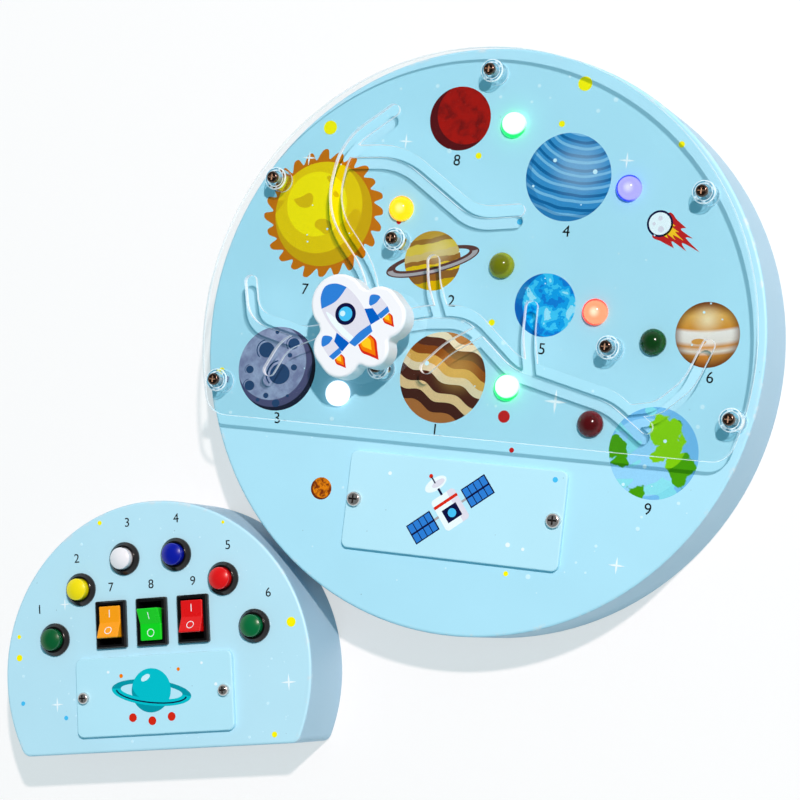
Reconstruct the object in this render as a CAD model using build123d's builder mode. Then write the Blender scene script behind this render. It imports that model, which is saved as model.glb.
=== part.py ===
from build123d import *
import os
from math import cos, radians, sin

os.makedirs("parts", exist_ok=True)

# All sizes are in millimetres and degrees.
# The origin is the centre of the display board's back; its face looks along +Z.

# Clearances
fit_gap = 0.3
running_gap = 0.1
slide_gap = 0.3
track_gap = 0.5

# Display board, a thick round block routed out from the back
board_radius = 125.0
board_depth = 34.0
board_edge = 1.2
board_front_wall = 6.0
board_side_wall = 9.0
board_ledge = 6.0

# Control board, a smaller disc with a straight lower edge
control_radius = 75.0
control_depth = 34.0
control_edge = 1.2
control_cut = 34.0
control_corner = 4.5
control_front_wall = 5.0
control_side_wall = 8.0
control_ledge = 5.6
control_gap = 5.0
control_bearing = 230.0
control_turn = 10.5

# Rear covers and the screws that hold them
rear_cover_depth = 3.0
rear_head_radius = 1.8
rear_shank_radius = 1.0
rear_bite = 7.0
board_rear_screws = 8
control_rear_screw_angles = (20.0, 70.0, 110.0, 160.0, 206.0, 334.0)

# Circuit boards on posts behind the front walls
circuit_depth = 1.6
circuit_drop = 20.0
circuit_inset = 4.0
post_radius = 4.0
post_inset = 14.0
control_post_inset = 8.0
board_post_angles = (20.0, 160.0, 215.0, 325.0)
control_post_angles = (90.0, 198.0, 342.0)
circuit_head_radius = 2.4
circuit_head_depth = 1.6
circuit_shank_radius = 1.1
circuit_bite = 8.0
chip_length = 14.0
chip_width = 10.0
chip_depth = 1.8
module_length = 20.0
module_width = 13.0
module_depth = 2.6
module_offset = 24.0
chip_offset = 38.0

# Clear track plate with a straight lower edge, held off the face by spacers
plate_inset = 1.5
plate_depth = 3.0
plate_cut = 42.6
plate_corner = 10.0
plate_edge = 0.3
spacer_radius = 5.0
spacer_height = 8.0
plate_head_radius = 2.6
plate_head_depth = 1.9
plate_shank_radius = 1.5
plate_bite = 5.0
rim_spacers = ((91.8, 10.0), (147.6, 7.1), (35.2, 8.2), (193.5, 5.4), (347.8, 5.4))
inner_spacer_places = ((-0.3136, 0.3128), (0.4872, 0.0016), (-0.3168, -0.1288))

# Tracks cut through the plate: corner points of each centreline and the radius at each corner,
# as shares of the board's radius so that the layout keeps its place on the face
track_width = 5.5
straight_start = (-0.6, -0.0352)
straight_end = (-0.1504, 0.0736)
tracks = (
    (((-0.8272, 0.132), (-0.8, 0.0128), straight_start, straight_end, (-0.008, 0.0832),
      (0.1792, -0.0768), (0.5248, -0.16), (0.6504, -0.2488)),
     (0.088, 0.144, 0.32, 0.152, 0.2, 0.2)),
    (((-0.3656, 0.7552), (-0.5288, 0.6288), (-0.5568, 0.404), (-0.3872, 0.208), (-0.336, 0.0288)),
     (0.216, 0.224, 0.32)),
    (((-0.5128, 0.6048), (-0.3168, 0.6168), (-0.0248, 0.4168), (0.1288, 0.4352)),
     (0.248, 0.176)),
    (((-0.716, -0.1704), (-0.6712, -0.0792), (-0.5504, -0.0232)),
     (0.112,)),
    (((-0.1552, 0.2456), (-0.144, 0.1712), (-0.104, 0.08)),
     (0.192,)),
    (((0.2128, 0.1136), (0.2136, 0.0248), (0.2376, -0.0912)),
     (0.32,)),
    (((-0.136, -0.116), (-0.0664, -0.0456), (0.0528, 0.0304)),
     (0.24,)),
    (((0.8272, 0.032), (0.7792, -0.092), (0.6832, -0.1832), (0.5872, -0.2024)),
     (0.176, 0.112)),
)

# Lamps, each a dome on a barrel with two legs; places are shares of the board's radius
lamp_places = (
    (0.1336, -0.1544), (0.0664, 0.2544), (-0.4776, -0.2256), (0.4824, 0.5408),
    (0.4128, 0.1208), (0.6224, 0.036), (-0.3232, 0.4272), (0.0512, 0.736),
    (0.4392, -0.2504),
)
lamp_radius = 5.5
lamp_skirt = 1.4
lamp_height = 5.2
lamp_barrel_radius = 4.6
lamp_barrel_length = 8.0
lamp_leg_radius = 0.4
lamp_leg_pitch = 2.54

# Rocket slider on a sleeve that runs in the straight stretch of the track
slider_share = 0.47
rocket_depth = 10.0
rocket_edge = 1.4
rocket_heading = 134.0
rocket_pin_offset = 2.7
rocket_nose_radius = 12.5
rocket_nose_reach = 11.5
rocket_waist_half = 13.0
rocket_waist_top = 9.0
rocket_waist_bottom = -8.0
rocket_pod_radius = 9.2
rocket_pod_straight = 5.0
rocket_pod_spread = 13.0
rocket_pod_back = 4.5
rocket_tail_radius = 8.0
rocket_tail_back = 13.6
rocket_notch_round = 2.2
collar_radius = 5.6
collar_depth = 2.9
glide_radius = 6.5
glide_depth = 2.2
slider_head_radius = 3.4
slider_head_depth = 1.8
slider_shank_radius = 1.3
slider_bite = 7.0

# Battery boxes under screwed covers
cell_radius = 5.2
cell_length = 44.5
cell_nub_radius = 1.9
cell_nub_length = 1.0
cell_pitch = 10.8
cell_side_room = 0.3
contact_room = 2.4
contact_depth = 0.4
contact_width = 8.0
contact_height = 8.0
tray_wall = 1.6
tray_corner = 1.5
flange_width = 2.0
flange_depth = 1.2
cover_depth = 2.2
cover_corner = 3.0
cover_edge = 0.6
cover_screw_inset = 4.0
cover_head_depth = 2.1
cover_shank_radius = 1.5
cover_bite = 3.6
display_cells = 3
display_cover_place = (-0.008, -0.58)
display_cover_end_lip = 22.4
display_cover_side_lip = 2.6
display_cover_head_radius = 3.2
control_cells = 2
control_cover_drop = 9.8
control_cover_end_lip = 11.8
control_cover_side_lip = 4.4
control_cover_head_radius = 2.6

# Push buttons on an arc round the control board
button_count = 6
button_circle = 52.0
button_first_angle = 161.0
button_step = 28.4
bezel_radius = 7.3
bezel_rim = 0.9
bezel_height = 2.5
bezel_slope = 1.5
bezel_round = 0.4
barrel_radius = 6.0
barrel_length = 12.0
barrel_wall = 0.7
barrel_floor = 1.2
cap_radius = 4.8
cap_rise = 3.8
cap_dome = 1.3
cap_round = 0.6
cap_foot = 0.35
cap_foot_depth = 5.0
lip_depth = 2.0
button_pin_radius = 0.5
button_pin_pitch = 6.0
nut_radius = 8.0
nut_depth = 2.5
spring_radius = 3.2
spring_wire = 0.35
spring_turns = 5

# Rocker switches in a row
rocker_count = 3
rocker_pitch = 20.2
rocker_row = 21.8
rocker_pressed_end = (1, -1, 1)
rocker_angle = 12.9
frame_length = 21.0
frame_width = 15.0
frame_height = 2.2
frame_corner = 0.8
frame_edge = 0.7
frame_flange = 0.9
frame_wall = 1.1
frame_end_wall = 0.8
frame_body_depth = 14.0
frame_floor = 1.6
blade_width = 4.8
blade_thickness = 0.8
blade_pitch = 8.0
rocker_side_gap = 0.3
rocker_end_gap = 0.35
rocker_pivot_drop = 1.5
rocker_valley = 4.1
rocker_foot_half = 5.2
rocker_foot_drop = 3.4
rocker_edge = 0.5
trunnion_radius = 1.0
trunnion_length = 0.8

# Screw recesses as shares of the head
recess_length = 1.15
recess_width = 0.24
recess_depth = 0.5
head_round = 0.55

# Worked-out levels and radii
display = Plane.XY
control_distance = board_radius + control_gap + control_radius
control_centre = (
    control_distance * cos(radians(control_bearing)),
    control_distance * sin(radians(control_bearing)),
)
control = Plane(
    origin=(*control_centre, 0),
    x_dir=(cos(radians(control_turn)), sin(radians(control_turn)), 0),
    z_dir=(0, 0, 1),
)
display_cover_centre = (display_cover_place[0] * board_radius, display_cover_place[1] * board_radius)
control_cover_centre = (0, -control_cover_drop)
board_cavity_radius = board_radius - board_side_wall
board_recess_radius = board_cavity_radius + board_ledge
control_cavity_radius = control_radius - control_side_wall
control_cavity_cut = control_cut - control_side_wall
control_recess_radius = control_cavity_radius + control_ledge
control_recess_cut = control_cavity_cut + control_ledge
plate_radius = board_radius - plate_inset
plate_bottom = board_depth + spacer_height
plate_top = plate_bottom + plate_depth
tray_depth = tray_wall + 2 * cell_radius + running_gap + cover_depth
rear_head_depth = rear_head_radius - rear_shank_radius


def save(part, name):
    part.label = name
    export_step(part, f"parts/{name}.step")


def spot(board, x, y, z):
    return Plane(board.from_local_coords((x, y, z)), x_dir=board.x_dir, z_dir=board.z_dir)


def rear_spot(board, x, y, z):
    return Plane(board.from_local_coords((x, y, z)), x_dir=board.x_dir, z_dir=-board.z_dir)


def upright(board, x, y, z):
    return Plane(board.from_local_coords((x, y, z)), x_dir=board.x_dir, z_dir=-board.y_dir)


def end_on(board, x, y, z):
    return Plane(board.from_local_coords((x, y, z)), x_dir=board.y_dir, z_dir=board.x_dir)


def polar(radius, angle):
    return (radius * cos(radians(angle)), radius * sin(radians(angle)))


def spread(places):
    return [(x * board_radius, y * board_radius) for x, y in places]


def cut_disc(level, radius, cut, corner):
    with BuildSketch(level) as outline:
        Circle(radius)
        with Locations((0, radius - cut)):
            Rectangle(2 * radius, 2 * radius, mode=Mode.INTERSECT)
        fillet(outline.vertices().group_by(Axis.Y)[0], corner)
    return outline.sketch


def pan_screws(seats, head_radius, head_depth, shank_radius, shank_length):
    with BuildPart() as screws:
        for seat in seats:
            with BuildSketch(seat):
                Circle(head_radius)
            extrude(amount=head_depth)
            with BuildSketch(seat):
                Circle(shank_radius)
            extrude(amount=-shank_length)
        outward = Axis(seats[0].origin, seats[0].z_dir)
        fillet(screws.edges().group_by(outward)[-1], head_round * head_depth)
        for seat in seats:
            with BuildSketch(seat.offset(head_depth)):
                Rectangle(recess_length * head_radius, recess_width * head_radius)
                Rectangle(recess_width * head_radius, recess_length * head_radius)
            extrude(amount=-recess_depth * head_depth, mode=Mode.SUBTRACT)
    return screws.part


def rear_screws(board, rear_points, post_points, level):
    with BuildPart() as screws:
        for x, y in rear_points:
            with BuildSketch(upright(board, x, y, 0)):
                Polygon((0, 0), (rear_head_radius, 0), (rear_shank_radius, rear_head_depth),
                        (rear_shank_radius, rear_cover_depth + rear_bite),
                        (0, rear_cover_depth + rear_bite), align=None)
            revolve(axis=Axis(board.from_local_coords((x, y, 0)), board.z_dir))
            with BuildSketch(spot(board, x, y, 0)):
                Rectangle(recess_length * rear_head_radius, recess_width * rear_head_radius)
                Rectangle(recess_width * rear_head_radius, recess_length * rear_head_radius)
            extrude(amount=recess_depth * rear_head_depth, mode=Mode.SUBTRACT)
        for x, y in post_points:
            with BuildSketch(rear_spot(board, x, y, level)):
                Circle(circuit_head_radius)
            extrude(amount=circuit_head_depth)
            with BuildSketch(rear_spot(board, x, y, level)):
                Circle(circuit_shank_radius)
            extrude(amount=-(circuit_depth + circuit_bite))
    return screws.part


def rear_cover(board, outline, points):
    hole_radius = rear_shank_radius + running_gap
    with BuildPart() as cover:
        extrude(outline, amount=rear_cover_depth)
        with BuildSketch(board):
            with Locations(*points):
                Circle(hole_radius)
        extrude(amount=rear_cover_depth, mode=Mode.SUBTRACT)
        holes = cover.edges().filter_by(lambda edge: edge.geom_type == GeomType.CIRCLE
                                        and edge.radius < 2 * hole_radius)
        chamfer(holes.group_by(Axis.Z)[0], rear_head_depth)
    return cover.part


def circuit_board(board, outline, post_points, level):
    with BuildPart() as circuit:
        extrude(outline, amount=circuit_depth)
        for x, y in post_points:
            with BuildSketch(spot(board, x, y, level)):
                Circle(circuit_shank_radius + running_gap)
            extrude(amount=circuit_depth, mode=Mode.SUBTRACT)
        with BuildSketch(rear_spot(board, 0, chip_offset, level)):
            Rectangle(chip_length, chip_width)
        extrude(amount=chip_depth)
        with BuildSketch(rear_spot(board, 0, module_offset, level)):
            Rectangle(module_length, module_width)
        extrude(amount=module_depth)
    return circuit.part


def tray_room(cells):
    length = cell_length + 2 * contact_room
    width = (cells - 1) * cell_pitch + 2 * (cell_radius + cell_side_room)
    return length, width


def battery_tray(board, centre, face, cells):
    length, width = tray_room(cells)
    outer_length = length + 2 * tray_wall
    outer_width = width + 2 * tray_wall
    with BuildPart() as tray:
        with BuildSketch(spot(board, *centre, face - tray_depth)):
            RectangleRounded(outer_length, outer_width, tray_corner)
        extrude(amount=tray_depth)
        with BuildSketch(spot(board, *centre, face - flange_depth)):
            RectangleRounded(outer_length + 2 * flange_width, outer_width + 2 * flange_width,
                             tray_corner + flange_width)
        extrude(amount=flange_depth)
        with BuildSketch(spot(board, *centre, face - tray_depth + tray_wall)):
            Rectangle(length, width)
        extrude(amount=tray_depth, mode=Mode.SUBTRACT)
    return tray.part


def tray_opening(board, centre, face, cells, front_wall):
    length, width = tray_room(cells)
    outer_length = length + 2 * tray_wall + 2 * fit_gap
    outer_width = width + 2 * tray_wall + 2 * fit_gap
    with BuildPart() as opening:
        with BuildSketch(spot(board, *centre, face - front_wall)):
            RectangleRounded(outer_length, outer_width, tray_corner + fit_gap)
        extrude(amount=front_wall)
        with BuildSketch(spot(board, *centre, face - flange_depth)):
            RectangleRounded(outer_length + 2 * flange_width, outer_width + 2 * flange_width,
                             tray_corner + flange_width + fit_gap)
        extrude(amount=flange_depth)
    return opening.part


def cell_rows(cells):
    return [(row - (cells - 1) / 2) * cell_pitch for row in range(cells)]


def batteries(board, centre, face, cells):
    level = face - tray_depth + tray_wall + running_gap + cell_radius
    body_length = cell_length - cell_nub_length
    with BuildPart() as pack:
        for row, offset_y in enumerate(cell_rows(cells)):
            way = 1 if row % 2 == 0 else -1
            start = centre[0] - way * cell_length / 2
            with BuildSketch(end_on(board, start, centre[1] + offset_y, level)):
                Circle(cell_radius)
            extrude(amount=way * body_length)
            with BuildSketch(end_on(board, start, centre[1] + offset_y, level)):
                Circle(cell_nub_radius)
            extrude(amount=way * cell_length)
    return pack.part


def battery_contacts(board, centre, face, cells):
    level = face - tray_depth + tray_wall + running_gap + cell_radius
    wall = cell_length / 2 + contact_room
    with BuildPart() as contacts:
        for offset_y in cell_rows(cells):
            for side in (-1, 1):
                with BuildSketch(end_on(board, centre[0] + side * wall, centre[1] + offset_y, level)):
                    Rectangle(contact_width, contact_height)
                extrude(amount=-side * contact_depth)
                with BuildSketch(end_on(board, centre[0] + side * wall, centre[1] + offset_y, level)):
                    Circle(cell_nub_radius)
                extrude(amount=-side * contact_room)
    return contacts.part


def cover_size(cells, end_lip, side_lip):
    length, width = tray_room(cells)
    border = 2 * tray_wall + 2 * fit_gap
    return length + border + 2 * end_lip, width + border + 2 * side_lip


def cover_seats(board, centre, level, length):
    reach = length / 2 - cover_screw_inset
    return [spot(board, centre[0] + side * reach, centre[1], level) for side in (-1, 1)]


def battery_cover(board, centre, face, length, width):
    with BuildPart() as cover:
        with BuildSketch(spot(board, *centre, face)):
            RectangleRounded(length, width, cover_corner)
        extrude(amount=cover_depth)
        fillet(cover.faces().sort_by(Axis.Z)[-1].edges(), cover_edge)
        for seat in cover_seats(board, centre, face, length):
            with BuildSketch(seat):
                Circle(cover_shank_radius + running_gap)
            extrude(amount=cover_depth, mode=Mode.SUBTRACT)
    return cover.part


# Places that several pieces share
plate_points = [polar(plate_radius - inset, angle) for angle, inset in rim_spacers]
plate_points += spread(inner_spacer_places)
lamp_points = spread(lamp_places)
board_posts = [polar(board_cavity_radius - post_inset, angle) for angle in board_post_angles]
control_posts = [
    polar(control_cavity_radius - control_post_inset, angle) for angle in control_post_angles
]
board_screw_circle = board_cavity_radius + board_ledge / 2
board_rear_points = [
    polar(board_screw_circle, 360 * (turn + 0.5) / board_rear_screws)
    for turn in range(board_rear_screws)
]
control_screw_circle = control_cavity_radius + control_ledge / 2
control_screw_cut = control_cavity_cut + control_ledge / 2
control_rear_points = [
    (polar(control_screw_circle, angle)[0], max(polar(control_screw_circle, angle)[1], -control_screw_cut))
    for angle in control_rear_screw_angles
]
board_circuit_level = board_depth - circuit_drop - circuit_depth
control_circuit_level = control_depth - circuit_drop - circuit_depth
display_cover_length, display_cover_width = cover_size(
    display_cells, display_cover_end_lip, display_cover_side_lip)
control_cover_length, control_cover_width = cover_size(
    control_cells, control_cover_end_lip, control_cover_side_lip)
button_points = [
    polar(button_circle, button_first_angle - button_step * place) for place in range(button_count)
]
rocker_points = [
    ((place - (rocker_count - 1) / 2) * rocker_pitch, rocker_row) for place in range(rocker_count)
]
frame_body_length = frame_length - 2 * frame_flange
frame_body_width = frame_width - 2 * frame_flange

# Display board body
with BuildPart() as display_body:
    with BuildSketch(display):
        Circle(board_radius)
    extrude(amount=board_depth)
    fillet(display_body.edges().filter_by(GeomType.CIRCLE), board_edge)
    with BuildSketch(display):
        Circle(board_recess_radius)
    extrude(amount=rear_cover_depth, mode=Mode.SUBTRACT)
    with BuildSketch(display.offset(rear_cover_depth)):
        Circle(board_cavity_radius)
    extrude(amount=board_depth - board_front_wall - rear_cover_depth, mode=Mode.SUBTRACT)
    with BuildSketch(display.offset(board_depth - circuit_drop)):
        with Locations(*board_posts):
            Circle(post_radius)
    extrude(amount=circuit_drop - board_front_wall)
    with BuildSketch(display.offset(board_depth - circuit_drop)):
        with Locations(*board_posts):
            Circle(circuit_shank_radius + running_gap)
    extrude(amount=circuit_bite, mode=Mode.SUBTRACT)
    with BuildSketch(display.offset(rear_cover_depth)):
        with Locations(*board_rear_points):
            Circle(rear_shank_radius + running_gap)
    extrude(amount=rear_bite, mode=Mode.SUBTRACT)
    with BuildSketch(display.offset(board_depth)):
        with Locations(*plate_points):
            Circle(plate_shank_radius + running_gap)
    extrude(amount=-plate_bite, mode=Mode.SUBTRACT)
    with BuildSketch(display.offset(board_depth - board_front_wall)):
        with Locations(*lamp_points):
            Circle(lamp_barrel_radius + fit_gap)
    extrude(amount=board_front_wall, mode=Mode.SUBTRACT)
    add(tray_opening(display, display_cover_centre, board_depth, display_cells, board_front_wall),
        mode=Mode.SUBTRACT)
    for seat in cover_seats(display, display_cover_centre, board_depth, display_cover_length):
        with BuildSketch(seat):
            Circle(cover_shank_radius + running_gap)
        extrude(amount=-cover_bite, mode=Mode.SUBTRACT)
save(display_body.part, "display_body")

# Display rear cover, its screws and the circuit board
with BuildSketch(display) as display_rear_outline:
    Circle(board_recess_radius - fit_gap)
save(rear_cover(display, display_rear_outline.sketch, board_rear_points), "display_rear_cover")
save(rear_screws(display, board_rear_points, board_posts, board_circuit_level), "display_rear_screws")
with BuildSketch(display.offset(board_circuit_level)) as display_circuit_outline:
    Circle(board_cavity_radius - circuit_inset)
save(circuit_board(display, display_circuit_outline.sketch, board_posts, board_circuit_level),
     "display_circuit_board")

# Track plate: a disc with a straight lower edge, cut through by the tracks
with BuildSketch() as track_outline:
    for corners, corner_radii in tracks:
        with BuildLine() as centreline:
            FilletPolyline(*spread(corners), radius=[share * board_radius for share in corner_radii])
        SlotArc(centreline.wires()[0], track_width)
with BuildPart() as track_plate:
    extrude(cut_disc(display.offset(plate_bottom), plate_radius, plate_cut, plate_corner),
            amount=plate_depth)
    for rim in (track_plate.faces().sort_by(Axis.Z)[0], track_plate.faces().sort_by(Axis.Z)[-1]):
        chamfer(rim.edges(), plate_edge)
    with BuildSketch(display.offset(plate_bottom)):
        add(track_outline.sketch)
        with Locations(*plate_points):
            Circle(plate_shank_radius + fit_gap)
    extrude(amount=plate_depth, mode=Mode.SUBTRACT)
save(track_plate.part, "track_plate")

# Spacers and screws that hold the track plate
with BuildPart() as plate_spacers:
    with BuildSketch(display.offset(board_depth)):
        with Locations(*plate_points):
            Circle(spacer_radius)
            Circle(plate_shank_radius + fit_gap, mode=Mode.SUBTRACT)
    extrude(amount=spacer_height)
save(plate_spacers.part, "plate_spacers")
plate_seats = [spot(display, x, y, plate_top) for x, y in plate_points]
save(pan_screws(plate_seats, plate_head_radius, plate_head_depth, plate_shank_radius,
                plate_depth + spacer_height + plate_bite), "plate_screws")

# Lamps
for number, (x, y) in enumerate(lamp_points, start=1):
    with BuildPart() as lamp:
        with BuildSketch(upright(display, x, y, board_depth)):
            with BuildLine():
                Polyline((0, lamp_height), (0, -lamp_barrel_length),
                         (lamp_barrel_radius, -lamp_barrel_length), (lamp_barrel_radius, 0),
                         (lamp_radius, 0), (lamp_radius, lamp_skirt))
                TangentArc((0, lamp_height), (lamp_radius, lamp_skirt), tangent=(1, 0))
            make_face()
        revolve(axis=Axis((x, y, board_depth), (0, 0, 1)))
        with BuildSketch(display.offset(board_depth - lamp_barrel_length)):
            with Locations((x, y)):
                with GridLocations(lamp_leg_pitch, 1, 2, 1):
                    Circle(lamp_leg_radius)
        extrude(amount=-(circuit_drop - lamp_barrel_length))
    save(lamp.part, f"lamp_{number}")

# Rocket slider: outline in its own axes, nose along local X
straight_from, straight_to = [Vector(*point) for point in spread((straight_start, straight_end))]
slider_point = straight_from + (straight_to - straight_from) * slider_share
rocket_direction = Vector(cos(radians(rocket_heading)), sin(radians(rocket_heading)))
rocket_centre = slider_point - rocket_direction * rocket_pin_offset
collar_bottom = plate_top + slide_gap
rocket_bottom = collar_bottom + collar_depth
glide_top = plate_bottom - slide_gap
sleeve_bottom = glide_top - glide_depth - slide_gap
stem_radius = track_width / 2 - track_gap
rocket_level = Plane(
    origin=(rocket_centre.X, rocket_centre.Y, rocket_bottom), x_dir=rocket_direction, z_dir=(0, 0, 1))
with BuildPart() as rocket_slider:
    with BuildSketch(rocket_level) as rocket_outline:
        with Locations((rocket_nose_reach, 0)):
            Circle(rocket_nose_radius)
        with Locations(((rocket_waist_top + rocket_waist_bottom) / 2, 0)):
            Rectangle(rocket_waist_top - rocket_waist_bottom, 2 * rocket_waist_half)
        with Locations((-rocket_pod_back, rocket_pod_spread), (-rocket_pod_back, -rocket_pod_spread)):
            SlotCenterToCenter(rocket_pod_straight, 2 * rocket_pod_radius)
        with Locations((-rocket_tail_back, 0)):
            Circle(rocket_tail_radius)
        offset(amount=rocket_notch_round, mode=Mode.REPLACE)
        offset(amount=-rocket_notch_round, mode=Mode.REPLACE)
    extrude(amount=rocket_depth)
    fillet(rocket_slider.faces().sort_by(Axis.Z)[-1].edges(), rocket_edge)
    with BuildSketch(Plane((slider_point.X, slider_point.Y, rocket_bottom))):
        Circle(slider_shank_radius + running_gap)
    extrude(amount=slider_bite, mode=Mode.SUBTRACT)
save(rocket_slider.part, "rocket_slider")

# Sleeve, glide ring and screw under the rocket
slider_spot = Plane((slider_point.X, slider_point.Y, 0))
with BuildPart() as slider_sleeve:
    with BuildSketch(slider_spot.offset(sleeve_bottom)):
        Circle(stem_radius)
    extrude(amount=collar_bottom - sleeve_bottom)
    with BuildSketch(slider_spot.offset(collar_bottom)):
        Circle(collar_radius)
    extrude(amount=collar_depth)
    with BuildSketch(slider_spot.offset(sleeve_bottom)):
        Circle(slider_shank_radius + running_gap)
    extrude(amount=rocket_bottom - sleeve_bottom, mode=Mode.SUBTRACT)
save(slider_sleeve.part, "slider_sleeve")
with BuildPart() as slider_glide:
    with BuildSketch(slider_spot.offset(glide_top - glide_depth)):
        Circle(glide_radius)
        Circle(stem_radius + running_gap, mode=Mode.SUBTRACT)
    extrude(amount=glide_depth)
save(slider_glide.part, "slider_glide")
slider_seat = Plane((slider_point.X, slider_point.Y, sleeve_bottom), x_dir=(1, 0, 0), z_dir=(0, 0, -1))
save(pan_screws([slider_seat], slider_head_radius, slider_head_depth, slider_shank_radius,
                rocket_bottom - sleeve_bottom + slider_bite), "slider_screw")

# Control board body
with BuildPart() as control_body:
    extrude(cut_disc(control, control_radius, control_cut, control_corner), amount=control_depth)
    for rim in (control_body.faces().sort_by(Axis.Z)[0], control_body.faces().sort_by(Axis.Z)[-1]):
        fillet(rim.edges(), control_edge)
    extrude(cut_disc(control, control_recess_radius, control_recess_cut, control_corner),
            amount=rear_cover_depth, mode=Mode.SUBTRACT)
    extrude(cut_disc(control.offset(rear_cover_depth), control_cavity_radius, control_cavity_cut,
                     control_corner),
            amount=control_depth - control_front_wall - rear_cover_depth, mode=Mode.SUBTRACT)
    with BuildSketch(control.offset(control_depth - circuit_drop)):
        with Locations(*control_posts):
            Circle(post_radius)
    extrude(amount=circuit_drop - control_front_wall)
    with BuildSketch(control.offset(control_depth - circuit_drop)):
        with Locations(*control_posts):
            Circle(circuit_shank_radius + running_gap)
    extrude(amount=circuit_bite, mode=Mode.SUBTRACT)
    with BuildSketch(control.offset(rear_cover_depth)):
        with Locations(*control_rear_points):
            Circle(rear_shank_radius + running_gap)
    extrude(amount=rear_bite, mode=Mode.SUBTRACT)
    with BuildSketch(control.offset(control_depth - control_front_wall)):
        with Locations(*button_points):
            Circle(barrel_radius + fit_gap)
        with Locations(*rocker_points):
            Rectangle(frame_body_width + 2 * fit_gap, frame_body_length + 2 * fit_gap)
    extrude(amount=control_front_wall, mode=Mode.SUBTRACT)
    add(tray_opening(control, control_cover_centre, control_depth, control_cells, control_front_wall),
        mode=Mode.SUBTRACT)
    for seat in cover_seats(control, control_cover_centre, control_depth, control_cover_length):
        with BuildSketch(seat):
            Circle(cover_shank_radius + running_gap)
        extrude(amount=-cover_bite, mode=Mode.SUBTRACT)
save(control_body.part, "control_body")

# Control rear cover, its screws and the circuit board
control_rear_outline = cut_disc(
    control, control_recess_radius - fit_gap, control_recess_cut - fit_gap, control_corner)
save(rear_cover(control, control_rear_outline, control_rear_points), "control_rear_cover")
save(rear_screws(control, control_rear_points, control_posts, control_circuit_level),
     "control_rear_screws")
control_circuit_outline = cut_disc(
    control.offset(control_circuit_level), control_cavity_radius - circuit_inset,
    control_cavity_cut - circuit_inset, control_corner)
save(circuit_board(control, control_circuit_outline, control_posts, control_circuit_level),
     "control_circuit_board")

# Battery boxes of both boards
boxes = (
    ("display", display, display_cover_centre, board_depth, display_cells, display_cover_length,
     display_cover_width, display_cover_head_radius),
    ("control", control, control_cover_centre, control_depth, control_cells, control_cover_length,
     control_cover_width, control_cover_head_radius),
)
for owner, board, centre, face, cells, length, width, head_radius in boxes:
    save(battery_tray(board, centre, face, cells), f"{owner}_battery_tray")
    save(batteries(board, centre, face, cells), f"{owner}_batteries")
    save(battery_contacts(board, centre, face, cells), f"{owner}_battery_contacts")
    save(battery_cover(board, centre, face, length, width), f"{owner}_battery_cover")
    seats = cover_seats(board, centre, face + cover_depth, length)
    save(pan_screws(seats, head_radius, cover_head_depth, cover_shank_radius, cover_depth + cover_bite),
         f"{owner}_cover_screws")

# Push buttons: housing, cap and spring of each, and the nuts behind the panel
lip_radius = cap_radius + running_gap
bore_radius = barrel_radius - barrel_wall
foot_radius = cap_radius + cap_foot
foot_top = bezel_height - lip_depth - running_gap
foot_bottom = foot_top - cap_foot_depth
spring_floor = barrel_floor - barrel_length
for number, (x, y) in enumerate(button_points, start=1):
    side = upright(control, x, y, control_depth)
    stem = Axis(side.origin, control.z_dir)
    with BuildPart() as button_housing:
        with BuildSketch(side):
            with BuildLine():
                Polyline((0, -barrel_length), (barrel_radius, -barrel_length), (barrel_radius, 0),
                         (bezel_radius, 0), (bezel_radius, bezel_rim),
                         (bezel_radius - bezel_slope, bezel_height), (lip_radius, bezel_height),
                         (lip_radius, bezel_height - lip_depth), (bore_radius, bezel_height - lip_depth),
                         (bore_radius, spring_floor), (0, spring_floor), close=True)
            make_face()
        revolve(axis=stem)
        fillet(button_housing.edges().filter_by(GeomType.CIRCLE).group_by(Axis.Z)[-1], bezel_round)
        with BuildSketch(spot(control, x, y, control_depth - barrel_length)):
            with GridLocations(button_pin_pitch, 1, 2, 1):
                Circle(button_pin_radius)
        extrude(amount=-(circuit_drop - barrel_length))
    save(button_housing.part, f"button_housing_{number}")
    with BuildPart() as button_cap:
        cap_top = bezel_height + cap_rise
        cap_shoulder = (cap_radius, cap_top - cap_dome)
        with BuildSketch(side) as cap_profile:
            with BuildLine():
                Polyline((0, cap_top), (0, foot_bottom), (foot_radius, foot_bottom), (foot_radius, foot_top),
                         (cap_radius, foot_top), cap_shoulder)
                TangentArc((0, cap_top), cap_shoulder, tangent=(1, 0))
            make_face()
            fillet(cap_profile.vertices().sort_by_distance(cap_shoulder)[0], cap_round)
        revolve(axis=stem)
    save(button_cap.part, f"button_cap_{number}")
    with BuildPart() as button_spring:
        spring_height = foot_bottom - spring_floor - 2 * spring_wire
        spring_start = control.from_local_coords((x, y, control_depth + spring_floor + spring_wire))
        with BuildLine():
            coil = Helix(spring_height / spring_turns, spring_height, spring_radius, center=spring_start)
        with BuildSketch(Plane(coil @ 0, z_dir=coil % 0)):
            Circle(spring_wire)
        sweep(is_frenet=True)
    save(button_spring.part, f"button_spring_{number}")
with BuildPart() as button_nuts:
    with BuildSketch(control.offset(control_depth - control_front_wall - nut_depth)):
        with Locations(*button_points):
            RegularPolygon(nut_radius, 6)
            Circle(barrel_radius + running_gap, mode=Mode.SUBTRACT)
    extrude(amount=nut_depth)
save(button_nuts.part, "button_nuts")

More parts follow.
